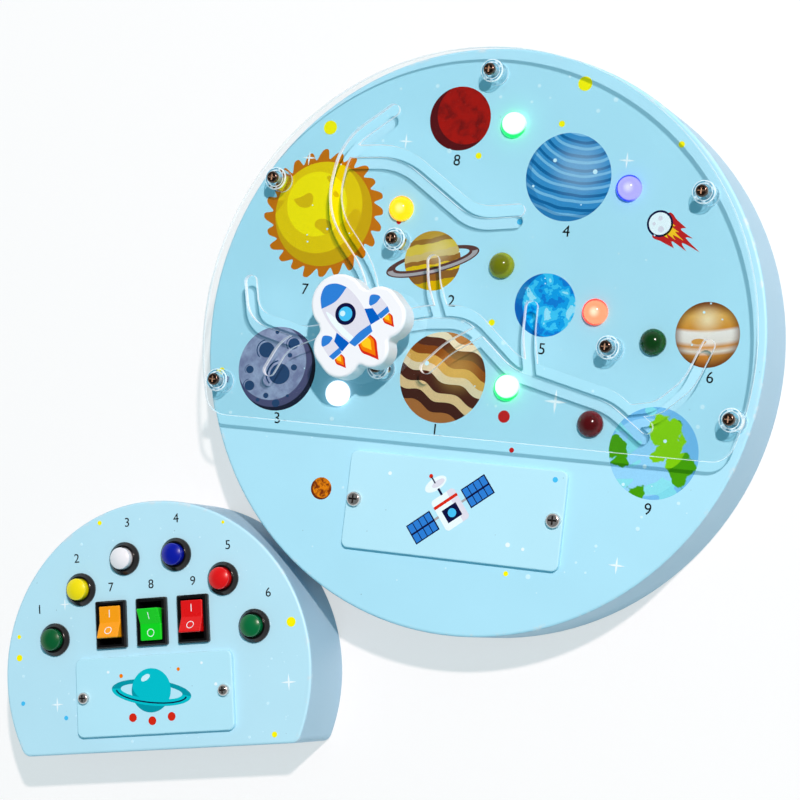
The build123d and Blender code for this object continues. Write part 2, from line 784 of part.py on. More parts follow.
# Rocker switches: frame and rocker of each
room_half_width = frame_body_width / 2 - frame_wall
room_half_length = frame_body_length / 2 - frame_end_wall
rocker_half_width = room_half_width - rocker_side_gap
swing_sin = sin(radians(rocker_angle))
swing_cos = cos(radians(rocker_angle))
rocker_half_length = (room_half_length - rocker_end_gap) * swing_cos - rocker_valley * swing_sin * swing_cos
rocker_tip = rocker_valley + rocker_half_length * swing_sin / swing_cos
for number, (x, y) in enumerate(rocker_points, start=1):
    pivot_level = control_depth - rocker_pivot_drop
    with BuildPart() as rocker_frame:
        with BuildSketch(spot(control, x, y, control_depth)):
            RectangleRounded(frame_width, frame_length, frame_corner)
        extrude(amount=frame_height)
        chamfer(rocker_frame.faces().sort_by(Axis.Z)[-1].edges(), frame_edge)
        with BuildSketch(spot(control, x, y, control_depth - frame_body_depth)):
            Rectangle(frame_body_width, frame_body_length)
        extrude(amount=frame_body_depth)
        with BuildSketch(spot(control, x, y, control_depth - frame_body_depth + frame_floor)):
            Rectangle(2 * room_half_width, 2 * room_half_length)
        extrude(amount=frame_body_depth + frame_height, mode=Mode.SUBTRACT)
        with BuildSketch(end_on(control, x, y, pivot_level)):
            Circle(trunnion_radius + running_gap)
        extrude(amount=frame_body_width / 2, both=True, mode=Mode.SUBTRACT)
        with BuildSketch(spot(control, x, y, control_depth - frame_body_depth)):
            with GridLocations(1, blade_pitch, 1, 2):
                Rectangle(blade_width, blade_thickness)
        extrude(amount=-(circuit_drop - frame_body_depth))
    save(rocker_frame.part, f"rocker_frame_{number}")
    lean = -rocker_pressed_end[number - 1] * radians(rocker_angle)
    lean_plane = Plane(
        origin=control.from_local_coords((x, y, pivot_level)),
        x_dir=control.y_dir * cos(lean) + control.z_dir * sin(lean),
        z_dir=control.x_dir,
    )
    with BuildPart() as rocker:
        with BuildSketch(lean_plane):
            with BuildLine():
                Polyline((rocker_half_length, rocker_tip), (0, rocker_valley),
                         (-rocker_half_length, rocker_tip), (-rocker_foot_half, -rocker_foot_drop),
                         (rocker_foot_half, -rocker_foot_drop), close=True)
            make_face()
        extrude(amount=rocker_half_width, both=True)
        fillet(rocker.edges().filter_by(GeomType.LINE), rocker_edge)
        with BuildSketch(end_on(control, x, y, pivot_level)):
            Circle(trunnion_radius)
        extrude(amount=rocker_half_width + rocker_side_gap + trunnion_length, both=True)
    save(rocker.part, f"rocker_{number}")
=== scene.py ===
import math
import random

import bpy
from mathutils import Matrix, Vector


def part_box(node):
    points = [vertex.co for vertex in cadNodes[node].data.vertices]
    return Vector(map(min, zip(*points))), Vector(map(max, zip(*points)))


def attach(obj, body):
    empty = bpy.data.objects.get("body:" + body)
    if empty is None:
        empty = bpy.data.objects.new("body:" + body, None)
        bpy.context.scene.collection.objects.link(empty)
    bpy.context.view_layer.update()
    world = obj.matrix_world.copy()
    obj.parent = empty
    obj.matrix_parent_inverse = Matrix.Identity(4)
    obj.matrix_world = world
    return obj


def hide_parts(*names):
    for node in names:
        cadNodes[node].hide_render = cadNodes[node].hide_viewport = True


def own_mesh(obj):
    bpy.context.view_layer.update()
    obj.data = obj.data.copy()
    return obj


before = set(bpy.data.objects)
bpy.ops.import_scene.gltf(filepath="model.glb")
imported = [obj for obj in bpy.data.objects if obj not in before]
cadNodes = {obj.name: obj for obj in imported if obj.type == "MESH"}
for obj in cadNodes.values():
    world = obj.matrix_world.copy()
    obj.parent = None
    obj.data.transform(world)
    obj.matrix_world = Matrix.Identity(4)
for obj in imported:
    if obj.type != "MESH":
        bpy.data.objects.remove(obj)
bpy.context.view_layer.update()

mm = 0.001  # sizes below are in millimetres, the scene is in metres
bpy.context.scene.view_settings.view_transform = "Standard"


# Boards: where a print's own millimetres lie
def boardPlace(x, y, turn, level):
    return Matrix.Translation((x * mm, y * mm, level)) @ Matrix.Rotation(math.radians(turn), 4, "Z")


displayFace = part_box("display_body")[1].z
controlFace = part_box("control_body")[1].z
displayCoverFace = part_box("display_battery_cover")[1].z
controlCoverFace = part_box("control_battery_cover")[1].z
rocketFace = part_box("rocket_slider")[1].z
controlSpot = {"x": -131.771, "y": -157.039, "turn": 10.5}
rocketSpot = {"pinX": -48.586, "pinY": 1.992, "heading": 134.0, "pinOffset": 2.7}
rocketX = rocketSpot["pinX"] - rocketSpot["pinOffset"] * math.cos(math.radians(rocketSpot["heading"]))
rocketY = rocketSpot["pinY"] - rocketSpot["pinOffset"] * math.sin(math.radians(rocketSpot["heading"]))

boards = {
    "display": (boardPlace(0, 0, 0, displayFace), "display"),
    "displayCover": (boardPlace(0, 0, 0, displayCoverFace), "display"),
    "control": (boardPlace(controlSpot["x"], controlSpot["y"], controlSpot["turn"], controlFace), "control"),
    "controlCover": (boardPlace(controlSpot["x"], controlSpot["y"], controlSpot["turn"], controlCoverFace), "control"),
    "rocket": (boardPlace(rocketX, rocketY, rocketSpot["heading"], rocketFace), "rocket"),
}


# Shader helpers
def colour(red, green, blue, alpha=1.0):
    linear = []
    for part in (red, green, blue):
        share = part / 255
        linear.append(share / 12.92 if share <= 0.04045 else ((share + 0.055) / 1.055) ** 2.4)
    return (*linear, alpha)


def feed(tree, socket, value):
    if isinstance(value, bpy.types.NodeSocket):
        tree.links.new(value, socket)
    else:
        socket.default_value = value


def addNode(tree, kind, values=None, **settings):
    node = tree.nodes.new(kind)
    for name, value in settings.items():
        setattr(node, name, value)
    for name, value in (values or {}).items():
        feed(tree, node.inputs[name], value)
    return node


def calc(tree, operation, first, second=0.0, third=0.0):
    return addNode(tree, "ShaderNodeMath", {0: first, 1: second, 2: third}, operation=operation).outputs[0]


def mixColours(tree, mask, first, second, blend="MIX"):
    node = addNode(tree, "ShaderNodeMix", {0: mask, 6: first, 7: second}, data_type="RGBA", blend_type=blend)
    return node.outputs[2]


def ramp(tree, value, stops, interpolation="LINEAR"):
    node = addNode(tree, "ShaderNodeValToRGB", {"Fac": value})
    node.color_ramp.interpolation = interpolation
    points = node.color_ramp.elements
    while len(points) < len(stops):
        points.new(1.0)
    for point, (place, shade) in zip(points, stops):
        point.position = place
        point.color = shade
    return node.outputs["Color"]


def smoothStep(tree, value, low, high):
    values = {"Value": value, "From Min": low, "From Max": high}
    return addNode(tree, "ShaderNodeMapRange", values, interpolation_type="SMOOTHSTEP").outputs["Result"]


def noise(tree, vector, scale, detail=2.0, roughness=0.5, distortion=0.0):
    values = {"Vector": vector, "Scale": scale, "Detail": detail, "Roughness": roughness, "Distortion": distortion}
    return addNode(tree, "ShaderNodeTexNoise", values).outputs["Fac"]


def objectVector(tree):
    return addNode(tree, "ShaderNodeTexCoord").outputs["Object"]


def localVector(tree, x, y, size, turn=0.0):
    values = {
        "Vector": objectVector(tree),
        "Location": (x * mm, y * mm, displayFace),
        "Rotation": (0, 0, math.radians(turn)),
        "Scale": (size * mm, size * mm, size * mm),
    }
    return addNode(tree, "ShaderNodeMapping", values, vector_type="TEXTURE").outputs["Vector"]


def split(tree, vector):
    return addNode(tree, "ShaderNodeSeparateXYZ", {"Vector": vector}).outputs


def startGroup(name, inputs, outputs):
    group = bpy.data.node_groups.new(name, "ShaderNodeTree")
    for label, kind, default in inputs:
        socket = group.interface.new_socket(label, in_out="INPUT", socket_type=kind)
        if default is not None:
            socket.default_value = default
    for label, kind in outputs:
        group.interface.new_socket(label, in_out="OUTPUT", socket_type=kind)
    return group, group.nodes.new("NodeGroupInput").outputs, group.nodes.new("NodeGroupOutput").inputs


def useGroup(tree, group, values):
    node = addNode(tree, "ShaderNodeGroup", node_tree=group)
    for name, value in values.items():
        feed(tree, node.inputs[name], value)
    return node.outputs


# soft mottling, orange peel and fine dark specks of sprayed paint
paintSkin, given, made = startGroup(
    "paintSkin",
    [("Vector", "NodeSocketVector", None), ("Colour", "NodeSocketColor", None),
     ("Mottle", "NodeSocketFloat", 0.06), ("Specks", "NodeSocketFloat", 0.35)],
    [("Colour", "NodeSocketColor"), ("Roughness", "NodeSocketFloat"), ("Height", "NodeSocketFloat")],
)
softCloud = noise(paintSkin, given["Vector"], 32.0, 3.0)
peel = noise(paintSkin, given["Vector"], 900.0, 2.0)
shift = calc(paintSkin, "MULTIPLY_ADD", calc(paintSkin, "SUBTRACT", softCloud, 0.5), given["Mottle"], 1.0)
scaled = addNode(paintSkin, "ShaderNodeVectorMath", {0: given["Colour"]}, operation="SCALE")
feed(paintSkin, scaled.inputs["Scale"], shift)
grit = addNode(paintSkin, "ShaderNodeTexVoronoi", {"Vector": given["Vector"], "Scale": 260.0})
gritDot = calc(paintSkin, "LESS_THAN", grit.outputs["Distance"], 0.075)
gritPick = calc(paintSkin, "GREATER_THAN", split(paintSkin, grit.outputs["Color"])["X"], 0.93)
gritMask = calc(paintSkin, "MULTIPLY", calc(paintSkin, "MULTIPLY", gritDot, gritPick), given["Specks"])
feed(paintSkin, made["Colour"], mixColours(paintSkin, gritMask, scaled.outputs[0], colour(70, 105, 125)))
feed(paintSkin, made["Roughness"], calc(paintSkin, "MULTIPLY_ADD", softCloud, 0.18, 0.34))
feed(paintSkin, made["Height"], peel)

# printed ink: faint screen grain
printGrain, given, made = startGroup(
    "printGrain",
    [("Vector", "NodeSocketVector", None), ("Colour", "NodeSocketColor", None), ("Grain", "NodeSocketFloat", 0.16)],
    [("Colour", "NodeSocketColor"), ("Roughness", "NodeSocketFloat")],
)
inkDots = noise(printGrain, given["Vector"], 2600.0, 1.0)
shift = calc(printGrain, "MULTIPLY_ADD", calc(printGrain, "SUBTRACT", inkDots, 0.5), given["Grain"], 1.0)
scaled = addNode(printGrain, "ShaderNodeVectorMath", {0: given["Colour"]}, operation="SCALE")
feed(printGrain, scaled.inputs["Scale"], shift)
feed(printGrain, made["Colour"], scaled.outputs[0])
feed(printGrain, made["Roughness"], calc(printGrain, "MULTIPLY_ADD", inkDots, 0.14, 0.36))

# 1 inside a circle on a print's own unit axes, 0 outside
roundMask, given, made = startGroup(
    "roundMask",
    [("Vector", "NodeSocketVector", None), ("Centre", "NodeSocketVector", (0.0, 0.0, 0.0)),
     ("Radius", "NodeSocketFloat", 1.0), ("Softness", "NodeSocketFloat", 0.01)],
    [("Mask", "NodeSocketFloat")],
)
flat = split(roundMask, addNode(
    roundMask, "ShaderNodeVectorMath", {0: given["Vector"], 1: given["Centre"]}, operation="SUBTRACT").outputs[0])
away = calc(roundMask, "SQRT", calc(
    roundMask, "MULTIPLY_ADD", flat["X"], flat["X"], calc(roundMask, "MULTIPLY", flat["Y"], flat["Y"])))
feed(roundMask, made["Mask"], calc(roundMask, "SUBTRACT", 1.0, smoothStep(
    roundMask, away, calc(roundMask, "SUBTRACT", given["Radius"], given["Softness"]),
    calc(roundMask, "ADD", given["Radius"], given["Softness"]))))

# moulded plastic: fine spark-eroded grain and uneven gloss
moulding, given, made = startGroup(
    "moulding",
    [("Vector", "NodeSocketVector", None), ("Grain Size", "NodeSocketFloat", 1400.0),
     ("Gloss", "NodeSocketFloat", 0.25)],
    [("Roughness", "NodeSocketFloat"), ("Height", "NodeSocketFloat")],
)
grain = noise(moulding, given["Vector"], given["Grain Size"], 2.0, 0.6)
handling = noise(moulding, given["Vector"], 120.0, 3.0)
feed(moulding, made["Roughness"], calc(moulding, "MULTIPLY_ADD", handling, 0.16, given["Gloss"]))
feed(moulding, made["Height"], grain)

# machine-turned metal: rings of fine scratches
turnedMetal, given, made = startGroup(
    "turnedMetal",
    [("Vector", "NodeSocketVector", None), ("Polish", "NodeSocketFloat", 0.22)],
    [("Roughness", "NodeSocketFloat"), ("Height", "NodeSocketFloat")],
)
scratches = noise(turnedMetal, given["Vector"], 1800.0, 3.0, 0.7, 0.4)
tarnish = noise(turnedMetal, given["Vector"], 240.0, 2.0)
feed(turnedMetal, made["Roughness"], calc(turnedMetal, "MULTIPLY_ADD", tarnish, 0.3, given["Polish"]))
feed(turnedMetal, made["Height"], scratches)
print("shader groups ready")


# Materials
def startMaterial(name, **sockets):
    material = bpy.data.materials.new(name)
    material.use_nodes = True
    tree = material.node_tree
    shader = tree.nodes["Principled BSDF"]
    for socket, value in sockets.items():
        shader.inputs[socket.replace("_", " ")].default_value = value
    return material, tree, shader


def addBump(tree, shader, height, strength, depth):
    bump = addNode(tree, "ShaderNodeBump", {"Strength": strength, "Distance": depth * mm, "Height": height})
    feed(tree, shader.inputs["Normal"], bump.outputs["Normal"])


def paintMaterial(name, shade, mottle=0.06, specks=0.35, rimRadius=None, rimLevel=None, place=None, paintedWallShade=None):
    material, tree, shader = startMaterial(name)
    vector = objectVector(tree)
    skin = useGroup(tree, paintSkin, {"Vector": vector, "Colour": shade, "Mottle": mottle, "Specks": specks})
    upright = calc(tree, "ABSOLUTE", split(tree, addNode(tree, "ShaderNodeTexCoord").outputs["Normal"])["Z"])
    # the walls are mixed towards a darker colour than the face: painted shade on the board's sides
    side = calc(tree, "MULTIPLY", calc(tree, "SUBTRACT", 1.0, smoothStep(tree, upright, 0.3, 0.8)), 0.7)
    painted = mixColours(tree, side, skin["Colour"], paintedWallShade or shade)
    if rimRadius:  # scuffs where the face rolls over into the wall
        x, y = place
        flat = split(tree, vector)
        east = calc(tree, "SUBTRACT", flat["X"], x * mm)
        north = calc(tree, "SUBTRACT", flat["Y"], y * mm)
        reach = calc(tree, "SQRT", calc(tree, "MULTIPLY_ADD", east, east, calc(tree, "MULTIPLY", north, north)))
        inset = calc(tree, "SUBTRACT", rimRadius * mm, reach)
        drop = calc(tree, "SUBTRACT", rimLevel, flat["Z"])
        rim = calc(tree, "SUBTRACT", 1.0, smoothStep(tree, calc(tree, "ADD", inset, drop), 0.7 * mm, 2.4 * mm))
        wear = smoothStep(tree, noise(tree, vector, 150.0, 4.0, 0.65), 0.52, 0.7)
        painted = mixColours(tree, calc(tree, "MULTIPLY", rim, wear), painted, colour(206, 226, 236))
    feed(tree, shader.inputs["Base Color"], painted)
    feed(tree, shader.inputs["Roughness"], skin["Roughness"])
    addBump(tree, shader, skin["Height"], 0.12, 0.05)
    return material


def plasticMaterial(name, shade, gloss=0.22, grainSize=1400.0, coat=0.0, bump=0.1):
    material, tree, shader = startMaterial(name, Coat_Weight=coat)
    vector = objectVector(tree)
    skin = useGroup(tree, moulding, {"Vector": vector, "Grain Size": grainSize, "Gloss": gloss})
    cloudy = noise(tree, vector, 90.0, 2.0)
    shaded = mixColours(tree, calc(tree, "MULTIPLY", cloudy, 0.18), shade, tuple(0.8 * part for part in shade[:3]) + (1.0,))
    feed(tree, shader.inputs["Base Color"], shaded)
    feed(tree, shader.inputs["Roughness"], skin["Roughness"])
    addBump(tree, shader, skin["Height"], bump, 0.04)
    return material


def metalMaterial(name, shade, polish=0.2, metallic=1.0):
    material, tree, shader = startMaterial(name, Metallic=metallic)
    vector = objectVector(tree)
    skin = useGroup(tree, turnedMetal, {"Vector": vector, "Polish": polish})
    stain = noise(tree, vector, 420.0, 3.0)
    feed(tree, shader.inputs["Base Color"], mixColours(
        tree, calc(tree, "MULTIPLY", stain, 0.5), shade, tuple(0.55 * part for part in shade[:3]) + (1.0,)))
    feed(tree, shader.inputs["Roughness"], skin["Roughness"])
    addBump(tree, shader, skin["Height"], 0.15, 0.03)
    return material


def clearMaterial(name, tint, shadowPass):
    material, tree, shader = startMaterial(name, Transmission_Weight=1.0, IOR=1.49, Base_Color=tint)
    smudge = smoothStep(tree, noise(tree, objectVector(tree), 60.0, 4.0, 0.6), 0.5, 0.75)
    feed(tree, shader.inputs["Roughness"], calc(tree, "MULTIPLY_ADD", smudge, 0.05, 0.012))
    shade = addNode(tree, "ShaderNodeBsdfTransparent", {"Color": shadowPass})
    surface = shader.outputs[0]
    path = addNode(tree, "ShaderNodeLightPath").outputs
    for ray in ("Is Reflection Ray", "Is Shadow Ray"):  # light goes straight through, only the eye sees it bent
        surface = addNode(tree, "ShaderNodeMixShader", {0: path[ray], 1: surface, 2: shade.outputs[0]}).outputs[0]
    feed(tree, tree.nodes["Material Output"].inputs["Surface"], surface)
    return material


def cutEdgeMaterial(name, shade, cover, paintedGlow, burnt=None, shadow=None):
    # the edge gives off light in its own colour: painted glow standing in for light the sheet carries to its cut edges
    material, tree, shader = startMaterial(name, Emission_Strength=paintedGlow, Emission_Color=shade)
    vector = objectVector(tree)
    if burnt:  # the foot of a sawn edge is rougher and lets less light through
        low, high, dense = burnt
        foot = calc(tree, "SUBTRACT", 1.0, smoothStep(tree, split(tree, vector)["Z"], low, high))
        cover = calc(tree, "MULTIPLY_ADD", foot, dense - cover, cover)
    if shadow:  # the eye looks through the edge, light is stopped by it
        stopped = calc(tree, "MULTIPLY", addNode(tree, "ShaderNodeLightPath").outputs["Is Shadow Ray"], shadow)
        cover = calc(tree, "MAXIMUM", cover, stopped)
    feed(tree, shader.inputs["Alpha"], cover)
    sawn = addNode(tree, "ShaderNodeMapping", {"Vector": vector, "Scale": (1.0, 1.0, 0.1)}).outputs["Vector"]
    lines = noise(tree, sawn, 900.0, 2.0)
    dull = tuple(0.82 * part for part in shade[:3]) + (1.0,)
    feed(tree, shader.inputs["Base Color"], mixColours(tree, lines, shade, dull))
    feed(tree, shader.inputs["Roughness"], calc(tree, "MULTIPLY_ADD", lines, 0.25, 0.2))
    return material


def inkMaterial(name, shade, grain=0.14):
    material, tree, shader = startMaterial(name, Specular_IOR_Level=inkSheen)
    skin = useGroup(tree, printGrain, {"Vector": objectVector(tree), "Colour": shade, "Grain": grain})
    feed(tree, shader.inputs["Base Color"], skin["Colour"])
    feed(tree, shader.inputs["Roughness"], skin["Roughness"])
    return material


def lampMaterial(name, place, tint, core=None, rim=None, strength=0.0, glint=None, lean=(0.0, 0.0)):
    material, tree, shader = startMaterial(name, Roughness=0.15, Specular_IOR_Level=0.36)
    vector = localVector(tree, place[0] + lean[0], place[1] + lean[1], lampRadius)
    flat = split(tree, vector)
    spread = calc(tree, "MULTIPLY_ADD", flat["X"], flat["X"], calc(tree, "MULTIPLY", flat["Y"], flat["Y"]))
    swirl = noise(tree, vector, 1.6, 2.0)
    reach = calc(tree, "MULTIPLY_ADD", calc(tree, "SUBTRACT", swirl, 0.5), 0.06, calc(tree, "SQRT", spread))
    # domes are darker in the middle and full tint at the rim: painted shade inside a painted lighter rim
    paintedDarkCentre = tuple(0.55 * part for part in tint[:3]) + (1.0,)
    feed(tree, shader.inputs["Base Color"], ramp(tree, reach, [(0.0, paintedDarkCentre), (0.7, paintedDarkCentre), (0.86, tint)], "EASE"))
    if core:
        glow = ramp(tree, reach, [(0.0, glint or core), (0.55, core), (0.82, core), (0.96, rim)], "EASE")
        feed(tree, shader.inputs["Emission Color"], glow)
        shader.inputs["Emission Strength"].default_value = strength
    return material


def fibreMaterial(name, light, dark):
    material, tree, shader = startMaterial(name)
    vector = objectVector(tree)
    stretched = addNode(tree, "ShaderNodeMapping", {"Vector": vector, "Scale": (1.0, 6.0, 1.0)}).outputs["Vector"]
    fibres = noise(tree, stretched, 240.0, 5.0, 0.7, 0.6)
    patches = noise(tree, vector, 30.0, 3.0)
    mask = calc(tree, "MULTIPLY_ADD", patches, 0.4, calc(tree, "MULTIPLY", fibres, 0.6))
    feed(tree, shader.inputs["Base Color"], mixColours(tree, mask, light, dark))
    feed(tree, shader.inputs["Roughness"], calc(tree, "MULTIPLY_ADD", fibres, 0.2, 0.62))
    addBump(tree, shader, fibres, 0.3, 0.08)
    return material


def circuitMaterial(name):
    material, tree, shader = startMaterial(name)
    vector = objectVector(tree)
    tracks = addNode(tree, "ShaderNodeTexBrick", {"Vector": vector, "Scale": 120.0, "Mortar Size": 0.04,
                     "Color1": colour(12, 84, 44), "Color2": colour(10, 70, 38), "Mortar": colour(46, 128, 70)})
    feed(tree, shader.inputs["Base Color"], tracks.outputs["Color"])
    feed(tree, shader.inputs["Roughness"], calc(tree, "MULTIPLY_ADD", noise(tree, vector, 200.0), 0.2, 0.3))
    addBump(tree, shader, tracks.outputs["Fac"], 0.2, 0.05)
    return material


inkSheen = 0.07  # printed ink is nearly matt
lampRadius = 5.5
lampSet = {  # lit lamps have a core, a rim and a strength, the unlit ones only their tint
    "lamp_1": {"place": (16.7, -19.3), "tint": colour(0, 120, 60), "core": (0.36, 1.0, 0.5, 1.0),
               "rim": (0.0, 0.6, 0.05, 1.0), "strength": 3.2, "lean": (0.7, 0.4)},
    "lamp_2": {"place": (8.3, 31.8), "tint": colour(158, 162, 0)},
    "lamp_3": {"place": (-59.7, -28.2), "tint": colour(220, 220, 220), "core": (1.0, 1.0, 1.0, 1.0),
               "rim": (0.9, 0.92, 1.0, 1.0), "strength": 1.2},
    "lamp_4": {"place": (60.3, 67.6), "tint": colour(10, 10, 150), "core": (0.5, 0.47, 0.97, 1.0),
               "rim": (0.0, 0.01, 1.0, 1.0), "strength": 1.0, "glint": (0.86, 0.84, 1.0, 1.0), "lean": (0.8, -0.3)},
    "lamp_5": {"place": (51.6, 15.1), "tint": colour(150, 20, 0), "core": (0.5, 0.2, 0.1, 1.0),
               "rim": (0.6, 0.02, 0.005, 1.0), "strength": 2.2, "glint": (0.6, 0.46, 0.32, 1.0), "lean": (0.8, -0.3)},
    "lamp_6": {"place": (77.8, 4.5), "tint": colour(0, 82, 20)},
    "lamp_7": {"place": (-40.4, 53.4), "tint": colour(200, 120, 0), "core": (1.0, 0.78, 0.0, 1.0),
               "rim": (1.0, 0.45, 0.0, 1.0), "strength": 1.1, "glint": (1.0, 0.95, 0.3, 1.0), "lean": (0.8, -0.3)},
    "lamp_8": {"place": (6.4, 92.0), "tint": colour(0, 120, 60), "core": (0.36, 1.0, 0.5, 1.0),
               "rim": (0.0, 0.6, 0.05, 1.0), "strength": 3.2, "lean": (0.7, 0.4)},
    "lamp_9": {"place": (54.9, -31.3), "tint": colour(116, 2, 14)},
}
# darker colour for the board walls: painted shade
paintedWallShade = colour(154, 186, 208)
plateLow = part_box("track_plate")[0].z
boardPaint = {"shade": colour(174, 228, 247), "mottle": 0.06, "specks": 0.4}

finishes = {
    "displayPaint": paintMaterial("displayPaint", boardPaint["shade"], boardPaint["mottle"], boardPaint["specks"],
                                  125.0, displayFace, (0.0, 0.0), paintedWallShade),
    "controlPaint": paintMaterial("controlPaint", colour(186, 230, 246), boardPaint["mottle"], boardPaint["specks"],
                                  75.0, controlFace, (controlSpot["x"], controlSpot["y"]), paintedWallShade),
    "coverPlastic": paintMaterial("coverPlastic", colour(184, 233, 249), 0.04, 0.3),
    "rearPanel": fibreMaterial("rearPanel", colour(196, 168, 128), colour(150, 120, 84)),
    "brightScrew": metalMaterial("brightScrew", colour(226, 224, 222), 0.05, 0.85),
    "darkScrew": metalMaterial("darkScrew", colour(98, 82, 74), 0.08),
    # recess and shank colours are painted light: a painted glint in the plate screws' crosses, painted shade in the
    # cover screws' crosses, a painted lighter shank
    "paintedRecessGlint": metalMaterial("paintedRecessGlint", colour(214, 186, 160), 0.3, 0.5),
    "paintedRecessShade": metalMaterial("paintedRecessShade", colour(70, 66, 64), 0.3, 0.8),
    "paintedShankLight": metalMaterial("paintedShankLight", colour(214, 222, 226), 0.3, 0.4),
    "clearSheet": clearMaterial("clearSheet", colour(250, 254, 255), colour(247, 251, 251)),
    "clearSpacer": clearMaterial("clearSpacer", colour(246, 252, 255), colour(220, 232, 236)),
    # the emission on these cut edge finishes is painted glow; on the spacer rims it makes a painted glint ring
    "paintedSpacerGlint": cutEdgeMaterial("paintedSpacerGlint", colour(246, 251, 255), 0.55, 0.45),
    "sheetEdge": cutEdgeMaterial("sheetEdge", colour(248, 244, 248), 0.6, 0.24, (plateLow + 1.1 * mm, plateLow + 1.5 * mm, 0.95)),
    "sheetRim": cutEdgeMaterial("sheetRim", colour(240, 248, 252), 0.13, 0.3, (plateLow + 0.9 * mm, plateLow + 1.3 * mm, 0.5), 0.65),
    "blackPlastic": plasticMaterial("blackPlastic", colour(9, 9, 11), 0.1, 1800.0, 0.0, 0.08),
    "whiteWood": paintMaterial("whiteWood", colour(243, 244, 248), 0.03, 0.1),
    "whitePlastic": plasticMaterial("whitePlastic", colour(232, 232, 230), 0.3),
    "trayPlastic": plasticMaterial("trayPlastic", colour(24, 24, 27), 0.4),
    "cellWrap": plasticMaterial("cellWrap", colour(52, 92, 84), 0.2),
    "contactMetal": metalMaterial("contactMetal", colour(205, 205, 200), 0.25),
    "circuitGreen": circuitMaterial("circuitGreen"),
}
capShades = [(0, 92, 46), (246, 226, 0), (240, 238, 242), (0, 20, 160), (226, 10, 14), (0, 108, 58)]
for number, shade in enumerate(capShades, start=1):
    finishes[f"cap{number}"] = plasticMaterial(f"capPlastic{number}", colour(*shade), 0.16, 1100.0, 0.3, 0.06)
rockerShades = [(255, 162, 0), (0, 216, 20), (228, 4, 6)]
for number, shade in enumerate(rockerShades, start=1):
    finishes[f"rocker{number}"] = plasticMaterial(f"rockerPlastic{number}", colour(*shade), 0.2, 1100.0, 0.2, 0.06)
for name, lamp in lampSet.items():
    finishes[name] = lampMaterial(f"{name}Dome", **lamp)

nodeFinish = {
    "display_body": "displayPaint", "control_body": "controlPaint",
    "display_rear_cover": "rearPanel", "control_rear_cover": "rearPanel",
    "display_rear_screws": "brightScrew", "control_rear_screws": "brightScrew", "slider_screw": "brightScrew",
    "display_cover_screws": "brightScrew", "control_cover_screws": "brightScrew", "plate_screws": "darkScrew",
    "track_plate": "clearSheet", "plate_spacers": "clearSpacer",
    "display_battery_cover": "coverPlastic", "control_battery_cover": "coverPlastic",
    "display_battery_tray": "trayPlastic", "control_battery_tray": "trayPlastic",
    "display_batteries": "cellWrap", "control_batteries": "cellWrap",
    "display_battery_contacts": "contactMetal", "control_battery_contacts": "contactMetal",
    "display_circuit_board": "circuitGreen", "control_circuit_board": "circuitGreen",
    "rocket_slider": "whiteWood", "slider_sleeve": "whitePlastic", "slider_glide": "whitePlastic",
    "button_nuts": "blackPlastic",
}
for name in lampSet:
    nodeFinish[name] = name
for number in range(1, 7):
    nodeFinish[f"button_cap_{number}"] = f"cap{number}"
    nodeFinish[f"button_housing_{number}"] = "blackPlastic"
    nodeFinish[f"button_spring_{number}"] = "contactMetal"
for number in range(1, 4):
    nodeFinish[f"rocker_{number}"] = f"rocker{number}"
    nodeFinish[f"rocker_frame_{number}"] = "blackPlastic"
for name, solid in cadNodes.items():
    solid.data.materials.clear()
    solid.data.materials.append(finishes[nodeFinish[name]])
plate = cadNodes["track_plate"]
plate.data.materials.append(finishes["sheetEdge"])
plate.data.materials.append(finishes["sheetRim"])
for facet in plate.data.polygons:  # slot walls and rim are sawn, the faces clear
    atRim = facet.center.xy.length > 117.5 * mm or facet.center.y < -36.6 * mm
    facet.material_index = 0 if abs(facet.normal.z) > 0.8 else 2 if atRim else 1

headDepth = {"plate_screws": 1.9, "slider_screw": 1.8, "display_cover_screws": 2.1, "control_cover_screws": 2.1}
for name, depth in headDepth.items():  # cross recesses and shanks get their own colour: a painted glint or painted shade in the crosses, a painted lighter shank
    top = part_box(name)[1].z
    screws = cadNodes[name].data
    screws.materials.append(finishes["paintedRecessGlint" if name == "plate_screws" else "paintedRecessShade"])
    screws.materials.append(finishes["paintedShankLight"])
    for facet in screws.polygons:
        level = top - facet.center.z
        inCross = level < 0.52 * depth * mm and (abs(facet.normal.z) < 0.1 or level > 0.48 * depth * mm)
        facet.material_index = 2 if level > (depth + 0.05) * mm else 1 if inCross else 0
print("finishes on", len(nodeFinish), "solids")


# Clear tubes that hold the track plate off the board
def clearSelection():
    if bpy.context.object and bpy.context.object.mode != "OBJECT":
        bpy.ops.object.mode_set(mode="OBJECT")
    bpy.ops.object.select_all(action="DESELECT")


tube = {"outer": 5.0, "bore": 3.3, "rounding": 0.5, "gap": 0.03, "steps": 64, "plateRadius": 123.5, "boardRadius": 125.0,
        "rim": ((91.8, 10.0), (147.6, 7.1), (35.2, 8.2), (193.5, 5.4), (347.8, 5.4)),
        "inner": ((-0.3136, 0.3128), (0.4872, 0.0016), (-0.3168, -0.1288))}
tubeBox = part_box("plate_spacers")
tubeLow, tubeHigh = tubeBox[0].z + tube["gap"] * mm, tubeBox[1].z - tube["gap"] * mm
tubeSpots = []
for angle, inset in tube["rim"]:
    reach = tube["plateRadius"] - inset
    tubeSpots.append((reach * math.cos(math.radians(angle)), reach * math.sin(math.radians(angle))))
tubeSpots += [(x * tube["boardRadius"], y * tube["boardRadius"]) for x, y in tube["inner"]]

